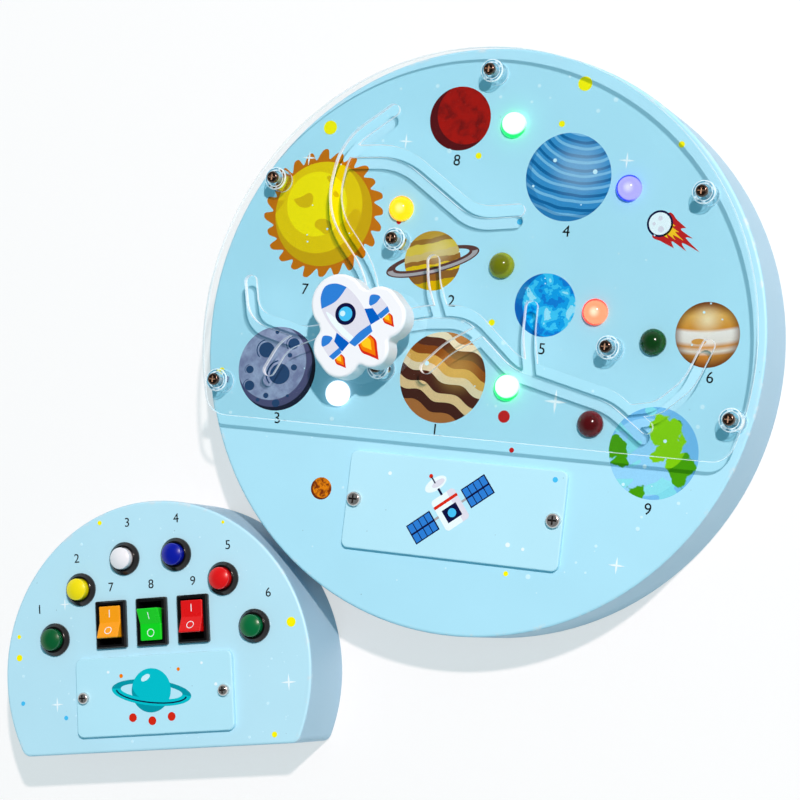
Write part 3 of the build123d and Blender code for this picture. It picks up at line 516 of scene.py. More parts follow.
clearSelection()
bpy.ops.mesh.primitive_plane_add(size=1.0)
firstTube = bpy.context.object
profile = [(tube["bore"] * mm, tubeLow), (tube["outer"] * mm, tubeLow), (tube["bore"] * mm, tubeHigh), (tube["outer"] * mm, tubeHigh)]
for corner, (x, z) in zip(firstTube.data.vertices, profile):
    corner.co = (x, 0, z)
bpy.ops.object.mode_set(mode="EDIT")
bpy.ops.mesh.select_all(action="SELECT")
bpy.ops.mesh.delete(type="ONLY_FACE")
bpy.ops.mesh.select_all(action="SELECT")
bpy.ops.mesh.bevel(offset=tube["rounding"] * mm, segments=3, affect="VERTICES")
bpy.ops.mesh.select_all(action="SELECT")
bpy.ops.mesh.spin(steps=tube["steps"], angle=2 * math.pi, center=(0, 0, 0), axis=(0, 0, 1))
bpy.ops.mesh.select_all(action="SELECT")
bpy.ops.mesh.remove_doubles(threshold=0.00001)
bpy.ops.mesh.normals_make_consistent(inside=False)
bpy.ops.object.mode_set(mode="OBJECT")
bpy.ops.object.shade_smooth_by_angle(angle=math.radians(30))
firstTube.data.materials.append(finishes["clearSpacer"])
firstTube.data.materials.append(finishes["paintedSpacerGlint"])
# the rounded rims take the glowing white edge finish: a painted glint
for facet in firstTube.data.polygons:
    facet.material_index = int(0.15 < abs(facet.normal.z) < 0.97)
for x, y in tubeSpots[1:]:
    copied = firstTube.copy()
    copied.data = firstTube.data.copy()
    bpy.context.collection.objects.link(copied)
    copied.location = (x * mm, y * mm, 0)
    copied.select_set(True)
firstTube.location = (tubeSpots[0][0] * mm, tubeSpots[0][1] * mm, 0)
firstTube.select_set(True)
bpy.context.view_layer.objects.active = firstTube
bpy.ops.object.join()
bpy.ops.object.transform_apply(location=True, rotation=True, scale=True)
spacerTubes = bpy.context.object
spacerTubes.name = "spacerTubes"
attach(spacerTubes, "display")
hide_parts("plate_spacers")
print("spacer tubes modelled:", len(tubeSpots))

# Button springs: coils wound in place of the springs under the caps
spring = {"coil": 3.2, "wire": 0.35, "turns": 5, "wireSides": 10, "turnSteps": 32, "travel": 2.5}
clearSelection()
bpy.ops.mesh.primitive_circle_add(vertices=spring["wireSides"], radius=spring["wire"] * mm, location=(spring["coil"] * mm, 0, 0),
                                  rotation=(math.radians(90), 0, 0))
firstSpring = bpy.context.object
bpy.ops.object.transform_apply(location=True, rotation=True, scale=True)
springLow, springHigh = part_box("button_spring_1")
springLength = springHigh.z - springLow.z
wind = firstSpring.modifiers.new("wind", "SCREW")
wind.iterations = spring["turns"]
wind.steps = spring["turnSteps"]
wind.render_steps = spring["turnSteps"]
wind.screw_offset = (springLength - 2 * spring["wire"] * mm) / spring["turns"]
bpy.ops.object.modifier_apply(modifier="wind")
bpy.ops.object.mode_set(mode="EDIT")
bpy.ops.mesh.select_all(action="SELECT")
bpy.ops.mesh.fill_holes(sides=0)
bpy.ops.mesh.select_all(action="SELECT")
bpy.ops.mesh.normals_make_consistent(inside=False)
bpy.ops.object.mode_set(mode="OBJECT")
bpy.ops.object.shade_smooth_by_angle(angle=math.radians(50))
firstSpring.data.materials.append(finishes["contactMetal"])
for number in range(1, 7):
    coil = firstSpring.copy()
    coil.data = firstSpring.data.copy()
    bpy.context.collection.objects.link(coil)
    low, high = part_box(f"button_spring_{number}")
    middle = (low + high) / 2
    clearSelection()
    coil.select_set(True)
    bpy.context.view_layer.objects.active = coil
    coil.location = (middle.x, middle.y, low.z + spring["wire"] * mm)
    bpy.ops.object.transform_apply(location=True, rotation=True, scale=True)
    coil.name = f"capSpring{number}"
    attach(coil, "control")
    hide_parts(f"button_spring_{number}")
    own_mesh(coil)
bpy.data.objects.remove(firstSpring)
print("springs wound: 6")

# Prints: thin ink laid on the faces
inkDepth = 0.015  # one layer of ink stands this proud
inkSink = 0.03  # and its underside sits this far in the face


def finishPrint(piece, name, boardName, material):
    place, body = boards[boardName]
    piece.name = name
    piece.data.name = name
    piece.matrix_world = place
    bpy.ops.object.transform_apply(location=True, rotation=True, scale=True)
    piece.data.materials.clear()
    piece.data.materials.append(material)
    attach(piece, body)
    return piece


def printShapes(name, boardName, material, shapes, layer=1):
    clearSelection()
    points = []
    for number, shape in enumerate(shapes):
        loops = shape if isinstance(shape, tuple) else (shape,)
        for loop in loops:
            fill = "NGON" if len(loops) == 1 else "NOTHING"
            bpy.ops.mesh.primitive_circle_add(vertices=len(loop), radius=0.001, fill_type=fill)
            points += loop
            if bpy.context.object.mode != "EDIT":
                bpy.ops.object.mode_set(mode="EDIT")
    piece = bpy.context.object
    bpy.ops.object.mode_set(mode="OBJECT")
    for vertex, (x, y) in zip(piece.data.vertices, points):
        vertex.co = (x * mm, y * mm, -inkSink * mm)
    bpy.ops.object.mode_set(mode="EDIT")
    if any(isinstance(shape, tuple) for shape in shapes):
        bpy.ops.mesh.select_all(action="SELECT")
        bpy.ops.mesh.bridge_edge_loops(type="PAIRS")
    bpy.ops.mesh.select_all(action="SELECT")
    rise = (0, 0, (inkSink + layer * inkDepth) * mm)
    bpy.ops.mesh.extrude_region_move(TRANSFORM_OT_translate={"value": rise})
    bpy.ops.mesh.select_all(action="SELECT")
    bpy.ops.mesh.normals_make_consistent(inside=False)
    bpy.ops.object.mode_set(mode="OBJECT")
    return finishPrint(piece, name, boardName, material)


def ringPoints(x, y, radius, count=72, tall=None, turn=0.0, start=0.0, end=360.0):
    tall = radius if tall is None else tall
    closed = abs(end - start) >= 360
    steps = count if closed else count - 1
    cosine, sine = math.cos(math.radians(turn)), math.sin(math.radians(turn))
    points = []
    for step in range(count):
        angle = math.radians(start + (end - start) * step / steps)
        u, v = radius * math.cos(angle), tall * math.sin(angle)
        points.append((x + u * cosine - v * sine, y + u * sine + v * cosine))
    return points


def placed(points, x=0.0, y=0.0, turn=0.0, size=1.0):
    cosine, sine = math.cos(math.radians(turn)), math.sin(math.radians(turn))
    return [(x + size * (u * cosine - v * sine), y + size * (u * sine + v * cosine)) for u, v in points]


def sparkle(x, y, reach, waist=0.16):
    points = []
    for step in range(16):
        angle = math.radians(22.5 * step)
        long = reach if step % 4 == 0 else reach * (0.3 if step % 2 else waist)
        long = reach * 0.13 if step % 4 == 2 else long
        points.append((x + long * math.cos(angle), y + long * math.sin(angle)))
    return points


# Planet prints
def planetMaterial(name, spec):
    material, tree, shader = startMaterial(name, Specular_IOR_Level=inkSheen)
    vector = localVector(tree, spec["x"], spec["y"], spec["radius"], spec.get("turn", 0.0))
    painted = spec["pattern"](tree, vector)
    skin = useGroup(tree, printGrain, {"Vector": objectVector(tree), "Colour": painted, "Grain": 0.22})
    feed(tree, shader.inputs["Base Color"], skin["Colour"])
    feed(tree, shader.inputs["Roughness"], skin["Roughness"])
    return material


def disc(tree, vector, x, y, radius, softness=0.012):
    values = {"Vector": vector, "Centre": (x, y, 0), "Radius": radius, "Softness": softness}
    return useGroup(tree, roundMask, values)["Mask"]


def outside(tree, mask):
    return calc(tree, "SUBTRACT", 1.0, mask)


def sunPattern(tree, vector):
    shade = mixColours(tree, disc(tree, vector, -0.12, 0.14, 0.9), colour(206, 164, 0), colour(232, 200, 0))
    shade = mixColours(tree, disc(tree, vector, -0.16, 0.18, 0.62), shade, colour(250, 230, 0))
    spots = smoothStep(tree, noise(tree, vector, 2.3, 0.0), 0.62, 0.635)
    return mixColours(tree, calc(tree, "MULTIPLY", spots, 0.8), shade, colour(214, 172, 0))


def rustPattern(tree, vector):
    stain = smoothStep(tree, noise(tree, vector, 2.4, 4.0, 0.6, 0.3), 0.4, 0.68)
    shade = mixColours(tree, stain, colour(170, 14, 4), colour(122, 8, 6))
    return mixColours(tree, disc(tree, vector, 0.2, 0.16, 0.96), colour(88, 6, 12), shade)


def stripePattern(tree, vector):
    centred = addNode(tree, "ShaderNodeVectorMath", {0: vector, 1: (0.3, 1.75, 0)}, operation="SUBTRACT").outputs[0]
    flat = split(tree, centred)
    reach = calc(tree, "SQRT", calc(tree, "MULTIPLY_ADD", flat["X"], flat["X"], calc(tree, "MULTIPLY", flat["Y"], flat["Y"])))
    wobble = calc(tree, "MULTIPLY_ADD", noise(tree, vector, 1.1, 1.0), 0.16, reach)
    band = calc(tree, "FRACT", calc(tree, "MULTIPLY", wobble, 3.3))
    shade = ramp(tree, band, [(0.0, colour(50, 140, 200)), (0.36, colour(4, 98, 156)), (0.58, colour(50, 140, 200)),
                              (0.8, colour(118, 184, 224))], "CONSTANT")
    pale = calc(tree, "MULTIPLY", disc(tree, vector, 0.25, 0.2, 0.5, 0.35), 0.3)
    shade = mixColours(tree, pale, shade, colour(190, 222, 240))
    return mixColours(tree, calc(tree, "MULTIPLY", outside(tree, disc(tree, vector, 0.1, 0.12, 0.98)), 0.4),
                      shade, colour(0, 90, 150))


def goldPattern(tree, vector):
    flat = split(tree, vector)
    wavy = calc(tree, "MULTIPLY_ADD", noise(tree, vector, 2.2, 2.0), 0.22, flat["Y"])
    level = calc(tree, "MULTIPLY_ADD", wavy, 0.5, 0.45)
    shade = ramp(tree, level, [(0.0, colour(206, 168, 0)), (0.16, colour(140, 92, 36)), (0.3, colour(222, 186, 8)),
                               (0.46, colour(150, 100, 40)), (0.54, colour(206, 180, 110)), (0.66, colour(216, 190, 70)),
                               (0.8, colour(150, 106, 40)), (0.88, colour(190, 150, 50))], "CONSTANT")
    return mixColours(tree, calc(tree, "MULTIPLY", disc(tree, vector, 0.25, 0.3, 0.35, 0.3), 0.35), shade, colour(240, 226, 180))


def cloudPattern(tree, vector):
    puffs = noise(tree, vector, 1.7, 3.0, 0.55, 0.2)
    shade = ramp(tree, puffs, [(0.0, colour(0, 124, 212)), (0.43, colour(0, 158, 230)), (0.51, colour(56, 194, 242)),
                               (0.6, colour(150, 224, 248))], "CONSTANT")
    dark = outside(tree, disc(tree, vector, 0.3, 0.04, 1.05))
    return mixColours(tree, calc(tree, "MULTIPLY", dark, 0.75), shade, colour(0, 86, 172))


def beltPattern(tree, vector):
    flat = split(tree, vector)
    bowed = calc(tree, "MULTIPLY_ADD", calc(tree, "MULTIPLY", flat["X"], flat["X"]), -0.1, flat["Y"])
    level = calc(tree, "MULTIPLY_ADD", bowed, 0.5, 0.52)
    shade = ramp(tree, level, [(0.0, colour(150, 84, 30)), (0.2, colour(190, 126, 50)), (0.26, colour(226, 214, 200)),
                               (0.33, colour(208, 140, 64)), (0.4, colour(232, 222, 212)), (0.55, colour(240, 232, 226)),
                               (0.6, colour(212, 142, 52)), (0.8, colour(226, 172, 84)), (1.0, colour(150, 80, 24))])
    storm = addNode(tree, "ShaderNodeMapping", {"Vector": vector, "Location": (-0.28, -0.2, 0), "Scale": (0.22, 0.09, 1)},
                    vector_type="TEXTURE").outputs["Vector"]
    shade = mixColours(tree, disc(tree, storm, 0, 0, 1.0, 0.1), shade, colour(214, 150, 70))
    shade = mixColours(tree, calc(tree, "MULTIPLY", disc(tree, vector, 0.0, 0.46, 0.2, 0.4), 0.8), shade, colour(255, 244, 205))
    return mixColours(tree, calc(tree, "MULTIPLY", outside(tree, disc(tree, vector, 0, 0, 0.9, 0.2)), 0.85),
                      shade, colour(96, 44, 12))


def landPattern(tree, vector):
    sea = mixColours(tree, disc(tree, vector, -0.18, -0.1, 0.84), colour(112, 184, 232), colour(146, 208, 244))
    swirl = noise(tree, vector, 1.2, 1.0, 0.5, 1.4)
    sea = mixColours(tree, calc(tree, "MULTIPLY", smoothStep(tree, swirl, 0.55, 0.565), 0.7), sea, colour(130, 226, 228))
    ripple = addNode(tree, "ShaderNodeTexNoise", {"Vector": vector, "Scale": 2.2, "Detail": 3.0}).outputs["Color"]
    pushed = addNode(tree, "ShaderNodeVectorMath", {0: ripple, 1: (0.7, 0.7, 0.0), 2: vector}, operation="MULTIPLY_ADD").outputs[0]
    land = 0.0
    for x, y, size in ((0.5, 0.85, 0.34), (0.72, 0.5, 0.3), (0.5, 0.34, 0.2), (0.98, 0.1, 0.3), (1.0, -0.16, 0.16),
                       (-0.5, 0.42, 0.26), (-0.42, 0.1, 0.14), (0.02, -0.5, 0.16)):
        land = calc(tree, "MAXIMUM", land, disc(tree, pushed, x, y, size, 0.02))
    fields = mixColours(tree, disc(tree, vector, 0.1, 0.25, 0.62), colour(70, 156, 4), colour(132, 204, 8))
    return mixColours(tree, land, sea, fields)


def wavePattern(tree, vector):
    flat = split(tree, vector)
    sway = calc(tree, "SINE", calc(tree, "MULTIPLY_ADD", noise(tree, vector, 1.0, 1.0), 2.2, calc(tree, "MULTIPLY", flat["X"], 7.5)))
    level = calc(tree, "MULTIPLY_ADD", calc(tree, "MULTIPLY_ADD", sway, 0.055, flat["Y"]), 0.5, 0.5)
    shade = ramp(tree, level, [(0.0, colour(166, 104, 52)), (0.13, colour(66, 30, 20)), (0.25, colour(222, 190, 138)),
                               (0.35, colour(74, 34, 22)), (0.47, colour(224, 206, 170)), (0.56, colour(214, 164, 78)),
                               (0.66, colour(140, 70, 16)), (0.76, colour(86, 42, 26)), (0.86, colour(236, 220, 186)),
                               (0.94, colour(190, 126, 66))], "CONSTANT")
    return mixColours(tree, calc(tree, "MULTIPLY", disc(tree, vector, 0.25, 0.3, 0.35, 0.35), 0.32), shade, colour(255, 206, 110))


def rockPattern(tree, vector):
    stain = smoothStep(tree, noise(tree, vector, 2.6, 4.0, 0.6), 0.35, 0.7)
    shade = mixColours(tree, stain, colour(150, 164, 194), colour(116, 124, 160))
    shade = mixColours(tree, disc(tree, vector, -0.16, 0.14, 0.9), colour(76, 78, 114), shade)
    return mixColours(tree, disc(tree, vector, -0.1, 0.08, 1.0), colour(20, 28, 50), shade)


def emberPattern(tree, vector):
    stain = smoothStep(tree, noise(tree, vector, 1.8, 4.0, 0.65, 0.4), 0.42, 0.6)
    shade = mixColours(tree, stain, colour(226, 128, 10), colour(120, 48, 10))
    return mixColours(tree, disc(tree, vector, 0.12, 0.12, 0.95), colour(110, 46, 14), shade)


planets = {
    "sunPrint": {"x": -77.0, "y": 49.2, "radius": 23.0, "pattern": sunPattern},
    "rustPlanet": {"x": -18.4, "y": 93.8, "radius": 13.9, "pattern": rustPattern},
    "stripedPlanet": {"x": 33.1, "y": 71.0, "radius": 18.8, "pattern": stripePattern},
    "ringedPlanet": {"x": -23.5, "y": 32.0, "radius": 12.8, "pattern": goldPattern, "turn": 14.0, "layer": 2},
    "cloudyPlanet": {"x": 29.2, "y": 16.5, "radius": 13.4, "pattern": cloudPattern},
    "beltedPlanet": {"x": 100.1, "y": 9.3, "radius": 13.5, "pattern": beltPattern, "turn": 6.0},
    "greenPlanet": {"x": 82.8, "y": -40.7, "radius": 19.0, "pattern": landPattern},
    "wavyPlanet": {"x": -12.8, "y": -17.4, "radius": 19.4, "pattern": wavePattern, "turn": -18.0},
    "crateredPlanet": {"x": -90.3, "y": -19.8, "radius": 18.4, "pattern": rockPattern},
    "emberPlanet": {"x": -63.0, "y": -69.5, "radius": 4.8, "pattern": emberPattern},
}
for name, spec in planets.items():
    outline = ringPoints(spec["x"], spec["y"], spec["radius"], 128)
    printShapes(name, "display", planetMaterial(name, spec), [outline], spec.get("layer", 1) + 1)
print("planets printed:", len(planets))

inks = {
    "black": inkMaterial("inkBlack", colour(18, 20, 24)),
    "white": inkMaterial("inkWhite", colour(236, 248, 253)),
    "paleBlue": inkMaterial("inkPaleBlue", colour(206, 240, 252)),
    "yellow": inkMaterial("inkYellow", colour(255, 242, 0)),
    "red": inkMaterial("inkRed", colour(196, 30, 30)),
    "sky": inkMaterial("inkSky", colour(70, 190, 240)),
    "flame": inkMaterial("inkFlame", colour(198, 112, 2)),
    "umber": inkMaterial("inkUmber", colour(92, 58, 54)),
    "silver": inkMaterial("inkSilver", colour(168, 164, 168)),
    "crater": inkMaterial("inkCrater", colour(36, 68, 108)),
    "navy": inkMaterial("inkNavy", colour(12, 14, 62)),
    "blue": inkMaterial("inkBlue", colour(44, 124, 210)),
    "deepBlue": inkMaterial("inkDeepBlue", colour(0, 92, 190)),
    "lilac": inkMaterial("inkLilac", colour(222, 220, 232)),
    "orange": inkMaterial("inkOrange", colour(244, 124, 0)),
    "gold": inkMaterial("inkGold", colour(255, 200, 30)),
    "scarlet": inkMaterial("inkScarlet", colour(214, 38, 16)),
    "teal": inkMaterial("inkTeal", colour(0, 190, 202)),
    "deepTeal": inkMaterial("inkDeepTeal", colour(0, 150, 166)),
}

sunRays = {"x": -77.0, "y": 49.2, "inner": 24.2, "outer": 28.7, "count": 24, "lean": 0.055, "steps": 16}
rayPoints = []
for step in range(sunRays["count"] * sunRays["steps"]):
    ray = step // sunRays["steps"]
    phase = 2 * math.pi * (step % sunRays["steps"]) / sunRays["steps"]
    lift = (1 - (0.5 + 0.5 * math.cos(phase)) ** 1.7) * (0.86 + 0.14 * math.sin(ray * 2.3))
    turn = 2 * math.pi * step / (sunRays["count"] * sunRays["steps"]) - sunRays["lean"] * lift
    reach = sunRays["inner"] + (sunRays["outer"] - sunRays["inner"]) * lift
    rayPoints.append((sunRays["x"] + reach * math.cos(turn), sunRays["y"] + reach * math.sin(turn)))
printShapes("sunRays", "display", inks["flame"], [rayPoints], 1)

ring = {"x": -23.5, "y": 31.6, "turn": 17.0, "outer": (21.6, 5.2), "hole": (17.2, 2.9), "holeLift": 0.7,
        "stripeOuter": (20.9, 4.6), "stripeInner": (18.4, 3.4)}
ringX, ringY, ringTurn = ring["x"], ring["y"], ring["turn"]
backArc = ringPoints(0, 0, ring["outer"][0], 64, ring["outer"][1], 0, 0, 180)
backArc += ringPoints(0, ring["holeLift"], ring["hole"][0], 64, ring["hole"][1], 0, 180, 0)
frontArc = ringPoints(0, 0, ring["outer"][0], 64, ring["outer"][1], 0, 180, 360)
frontArc += ringPoints(0, ring["holeLift"], ring["hole"][0], 64, ring["hole"][1], 0, 360, 180)
stripeArc = ringPoints(0, 0, ring["stripeOuter"][0], 64, ring["stripeOuter"][1], 0, 176, 364)
stripeArc += ringPoints(0, 0.1, ring["stripeInner"][0], 64, ring["stripeInner"][1], 0, 364, 176)
printShapes("planetRingBack", "display", inks["umber"], [placed(backArc, ringX, ringY, ringTurn)], 1)
printShapes("planetRingFront", "display", inks["umber"], [placed(frontArc, ringX, ringY, ringTurn)], 4)
printShapes("planetRingStripe", "display", inks["silver"], [placed(stripeArc, ringX, ringY, ringTurn)], 5)

craters = [(-0.32, 0.42, 0.2), (0.34, 0.62, 0.15), (0.08, -0.12, 0.27), (-0.7, -0.08, 0.1), (-0.66, -0.46, 0.13),
           (0.44, 0.06, 0.08), (0.3, 0.34, 0.06), (0.08, -0.82, 0.1), (-0.2, -0.66, 0.07), (-0.4, -0.78, 0.05),
           (-0.1, 0.86, 0.05), (0.36, -0.62, 0.04)]
rock = planets["crateredPlanet"]
craterShapes, craterRims = [], []
for u, v, share in craters:
    x, y, size = rock["x"] + u * rock["radius"], rock["y"] + v * rock["radius"], share * rock["radius"]
    craterShapes.append(ringPoints(x, y, size, 40, size * 0.92))
    outer = ringPoints(x, y, size * 1.34, 30, size * 1.26, 0, 105, 230)
    craterRims.append(outer + ringPoints(x, y, size * 1.2, 30, size * 1.13, 0, 228, 107))
printShapes("craterHollows", "display", inks["crater"], craterShapes, 3)
printShapes("craterRims", "display", inks["crater"], craterRims[:5], 3)
print("sun rays, ring and craters printed")

# Dots, sparkles and numerals
dots = {
    "display": {
        "yellow": [(-78.6, 87.3, 3.1), (35.9, 110.9, 3.1), (27.6, 93.4, 1.35), (80.5, 87.0, 1.35), (-8.1, 78.1, 1.35),
                   (6.5, 7.5, 1.35), (25.0, -96.4, 1.05), (-116.7, -22.7, 1.25)],
        "red": [(16.7, -31.5, 2.6), (21.4, -45.1, 1.05), (-41.1, 47.7, 1.05)],
        "sky": [(13.9, 50.9, 1.25)],
    },
    "displayCover": {"sky": [(42.7, -55.6, 1.15)], "white": [(25.2, -84.5, 1.0), (32.0, -85.6, 0.7), (-31.0, -60.0, 0.8)]},
    "control": {
        "yellow": [(-24.8, 67.2, 1.0), (36.1, 62.8, 0.7), (-67.7, 19.3, 0.9), (-67.9, 9.9, 1.45), (66.5, 17.5, 2.1),
                   (56.3, -29.9, 1.25)],
        "sky": [(-66.7, -10.4, 1.0), (-45.0, -17.9, 1.0)],
    },
    "controlCover": {"white": [(30.5, -7.0, 0.7), (-22.0, 1.0, 0.6), (24.0, 2.5, 0.6)]},
}
for boardName, sets in dots.items():
    for ink, places in sets.items():
        shapes = [ringPoints(x, y, radius, 36) for x, y, radius in places]
        printShapes(f"{boardName}Dots{ink.capitalize()}", boardName, inks[ink], shapes, 5)

sparkles = {
    "display": [(-42.2, 82.8, 3.4), (57.8, 79.2, 3.6), (38.5, -23.4, 5.2), (72.2, -87.8, 3.6), (-87.0, 73.5, 3.4)],
    "control": [(-43.8, 32.3, 2.6), (-49.3, -11.8, 3.2), (64.1, -8.1, 3.6)],
}
for boardName, places in sparkles.items():
    printShapes(f"{boardName}Sparkles", boardName, inks["white"], [sparkle(*place) for place in places], 5)

random.seed(41)
bubbles = {"display": (110, 118.0, -125.0, 0.28, 1.1), "control": (64, 69.0, -31.0, 0.2, 0.75)}
for boardName, (count, reach, lowest, least, most) in bubbles.items():
    shapes = []
    while len(shapes) < count:
        x, y = random.uniform(-reach, reach), random.uniform(-reach, reach)
        size = least + (most - least) * random.random() ** 3
        onCover = abs(y + 72.5) < 23 and abs(x + 1) < 51 if boardName == "display" else abs(y + 9.8) < 19 and abs(x) < 40
        onSwitch = boardName == "control" and abs(y - 21.8) < 14 and abs(x) < 31
        if math.hypot(x, y) < reach and y > lowest and not onCover and not onSwitch:
            shapes.append(ringPoints(x, y, size, 20))
    printShapes(f"{boardName}Bubbles", boardName, inks["paleBlue"], shapes, 6)


def printNumerals(name, boardName, places, height, material, layer=6):
    clearSelection()
    digits = []
    for text, x, y in places:
        bpy.ops.object.text_add(location=(x * mm, y * mm, 0))
        digit = bpy.context.object
        digit.data.body = text
        digit.data.align_x = "CENTER"
        digit.data.align_y = "CENTER"
        digit.data.extrude = 0.5 * (inkSink + layer * inkDepth) / (1.42 * height)
        digit.data.resolution_u = 6
        bpy.ops.object.convert(target="MESH")  # filled at full size, then brought down to millimetres
        bpy.context.object.scale = [1.42 * height * mm] * 3
        digits.append(bpy.context.object)
        bpy.ops.object.select_all(action="DESELECT")
    for digit in digits:
        digit.select_set(True)
    bpy.context.view_layer.objects.active = digits[0]
    bpy.ops.object.join()
    bpy.ops.object.transform_apply(location=True, rotation=True, scale=True)
    piece = bpy.context.object
    bpy.ops.object.mode_set(mode="EDIT")
    bpy.ops.mesh.select_all(action="SELECT")
    bpy.ops.mesh.remove_doubles(threshold=0.000001)
    bpy.ops.mesh.normals_make_consistent(inside=False)
    bpy.ops.transform.translate(value=(0, 0, 0.5 * (layer * inkDepth - inkSink) * mm))
    bpy.ops.object.mode_set(mode="OBJECT")
    return finishPrint(piece, name, boardName, material)


displayNumbers = [("8", -17.7, 75.5), ("4", 34.9, 47.9), ("2", -12.8, 15.2), ("5", 30.0, -2.1), ("6", 103.0, -8.2),
                  ("7", -81.5, 15.6), ("3", -87.5, -41.4), ("1", -13.5, -39.9), ("9", 82.8, -63.8)]
controlNumbers = [("1", -56.8, 30.7), ("2", -37.0, 52.1), ("3", -11.0, 66.2), ("4", 13.3, 66.2), ("5", 38.0, 52.6),
                  ("6", 56.3, 30.7), ("7", -20.3, 38.2), ("8", -0.3, 38.2), ("9", 20.3, 38.2)]
printNumerals("displayNumerals", "display", displayNumbers, 4.8, inks["black"])
printNumerals("controlNumerals", "control", controlNumbers, 4.0, inks["black"])
print("dots, sparkles and numerals printed")

# Rocket print, drawn with its nose along x; a point given twice makes a sharp corner
def smoothLoop(points, steps=6):
    count = len(points)
    curve = []
    for number in range(count):
        before, start, end, after = (Vector(points[(number + offset) % count]) for offset in (-1, 0, 1, 2))
        if start == end:
            continue
        for step in range(steps):
            share = step / steps
            bow = (2 * before - 5 * start + 4 * end - after) * share ** 2
            twist = (3 * start - before - 3 * end + after) * share ** 3
            curve.append(tuple(0.5 * (2 * start + (end - before) * share + bow + twist)))
    return curve


def bothSides(points):
    return [points, [(u, -v) for u, v in reversed(points)]]


noseCurve = [(20.8, 0.0), (18.6, 4.4), (14.2, 7.2)]
hullSide = [(7.0, 8.2), (-1.0, 7.4), (-8.4, 5.0), (-8.4, 5.0)]
hull = smoothLoop(noseCurve + hullSide + [(u, -v) for u, v in reversed(noseCurve[1:] + hullSide)])
nose = smoothLoop([(14.2, -7.2), (14.2, -7.2), (18.6, -4.4), (20.8, 0.0), (18.6, 4.4), (14.2, 7.2), (14.2, 7.2), (12.6, 0.0)])
shine = smoothLoop([(11.8, 6.4), (6.0, 7.2), (-2.0, 6.3), (-7.8, 4.4), (-7.8, 4.4), (-7.8, 2.4), (-7.8, 2.4), (0.0, 4.0), (8.0, 5.0)])
tailBand = smoothLoop([(-5.4, 6.1), (-5.4, 6.1), (-8.4, 5.0), (-8.4, 5.0), (-8.4, -5.0), (-8.4, -5.0), (-5.4, -6.1), (-5.4, -6.1), (-4.8, 0.0)])
fin = smoothLoop([(1.6, 7.9), (1.6, 7.9), (-5.6, 6.1), (-5.6, 6.1), (-6.4, 10.8), (-6.4, 10.8), (-0.6, 11.0), (-0.6, 11.0)])
booster = smoothLoop([(4.4, 13.6), (2.2, 16.2), (-4.6, 16.6), (-6.6, 16.0), (-6.6, 16.0), (-6.6, 11.2), (-6.6, 11.2), (-4.6, 10.6), (2.2, 11.0)])
boosterTip = smoothLoop([(4.4, 13.6), (2.2, 16.2), (0.8, 16.4), (0.8, 16.4), (0.2, 13.6), (0.8, 10.8), (0.8, 10.8), (2.2, 11.0)])
boosterBand = smoothLoop([(-4.2, 16.6), (-4.2, 16.6), (-6.6, 16.0), (-6.6, 16.0), (-6.6, 11.2), (-6.6, 11.2), (-4.2, 10.6), (-4.2, 10.6)])
flame = smoothLoop([(0.0, 3.4), (0.0, 3.4), (-3.6, 4.0), (-7.0, 2.2), (-11.0, 0.0), (-11.0, 0.0), (-7.0, -2.2), (-3.6, -4.0), (0.0, -3.4), (0.0, -3.4)])


def flames(main, side):
    return [placed(flame, -8.8, 0, 0, main)] + bothSides(placed(flame, -7.0, 13.6, 0, side))


rocketPrint = [
    ("rocketHull", "lilac", [hull] + bothSides(booster), 1),
    ("rocketFins", "deepBlue", bothSides(fin), 2),
    ("rocketShine", "white", [shine], 2),
    ("rocketNose", "blue", [nose] + bothSides(boosterTip), 3),
    ("rocketBands", "blue", [tailBand] + bothSides(boosterBand), 3),
    ("rocketWindowRim", "navy", [ringPoints(5.4, 0, 4.7, 64)], 4),
    ("rocketWindow", "sky", [ringPoints(5.4, 0, 3.1, 48)], 5),
    ("rocketWindowGlint", "paleBlue", [ringPoints(6.4, 0.9, 1.2, 32)], 6),
    ("rocketFlameOuter", "scarlet", flames(1.0, 0.56), 1),
    ("rocketFlameMiddle", "orange", flames(0.8, 0.42), 2),
    ("rocketFlameInner", "gold", flames(0.52, 0.25), 3),
]
for name, ink, shapes, layer in rocketPrint:
    printShapes(name, "rocket", inks[ink], shapes, layer)
print("rocket printed")

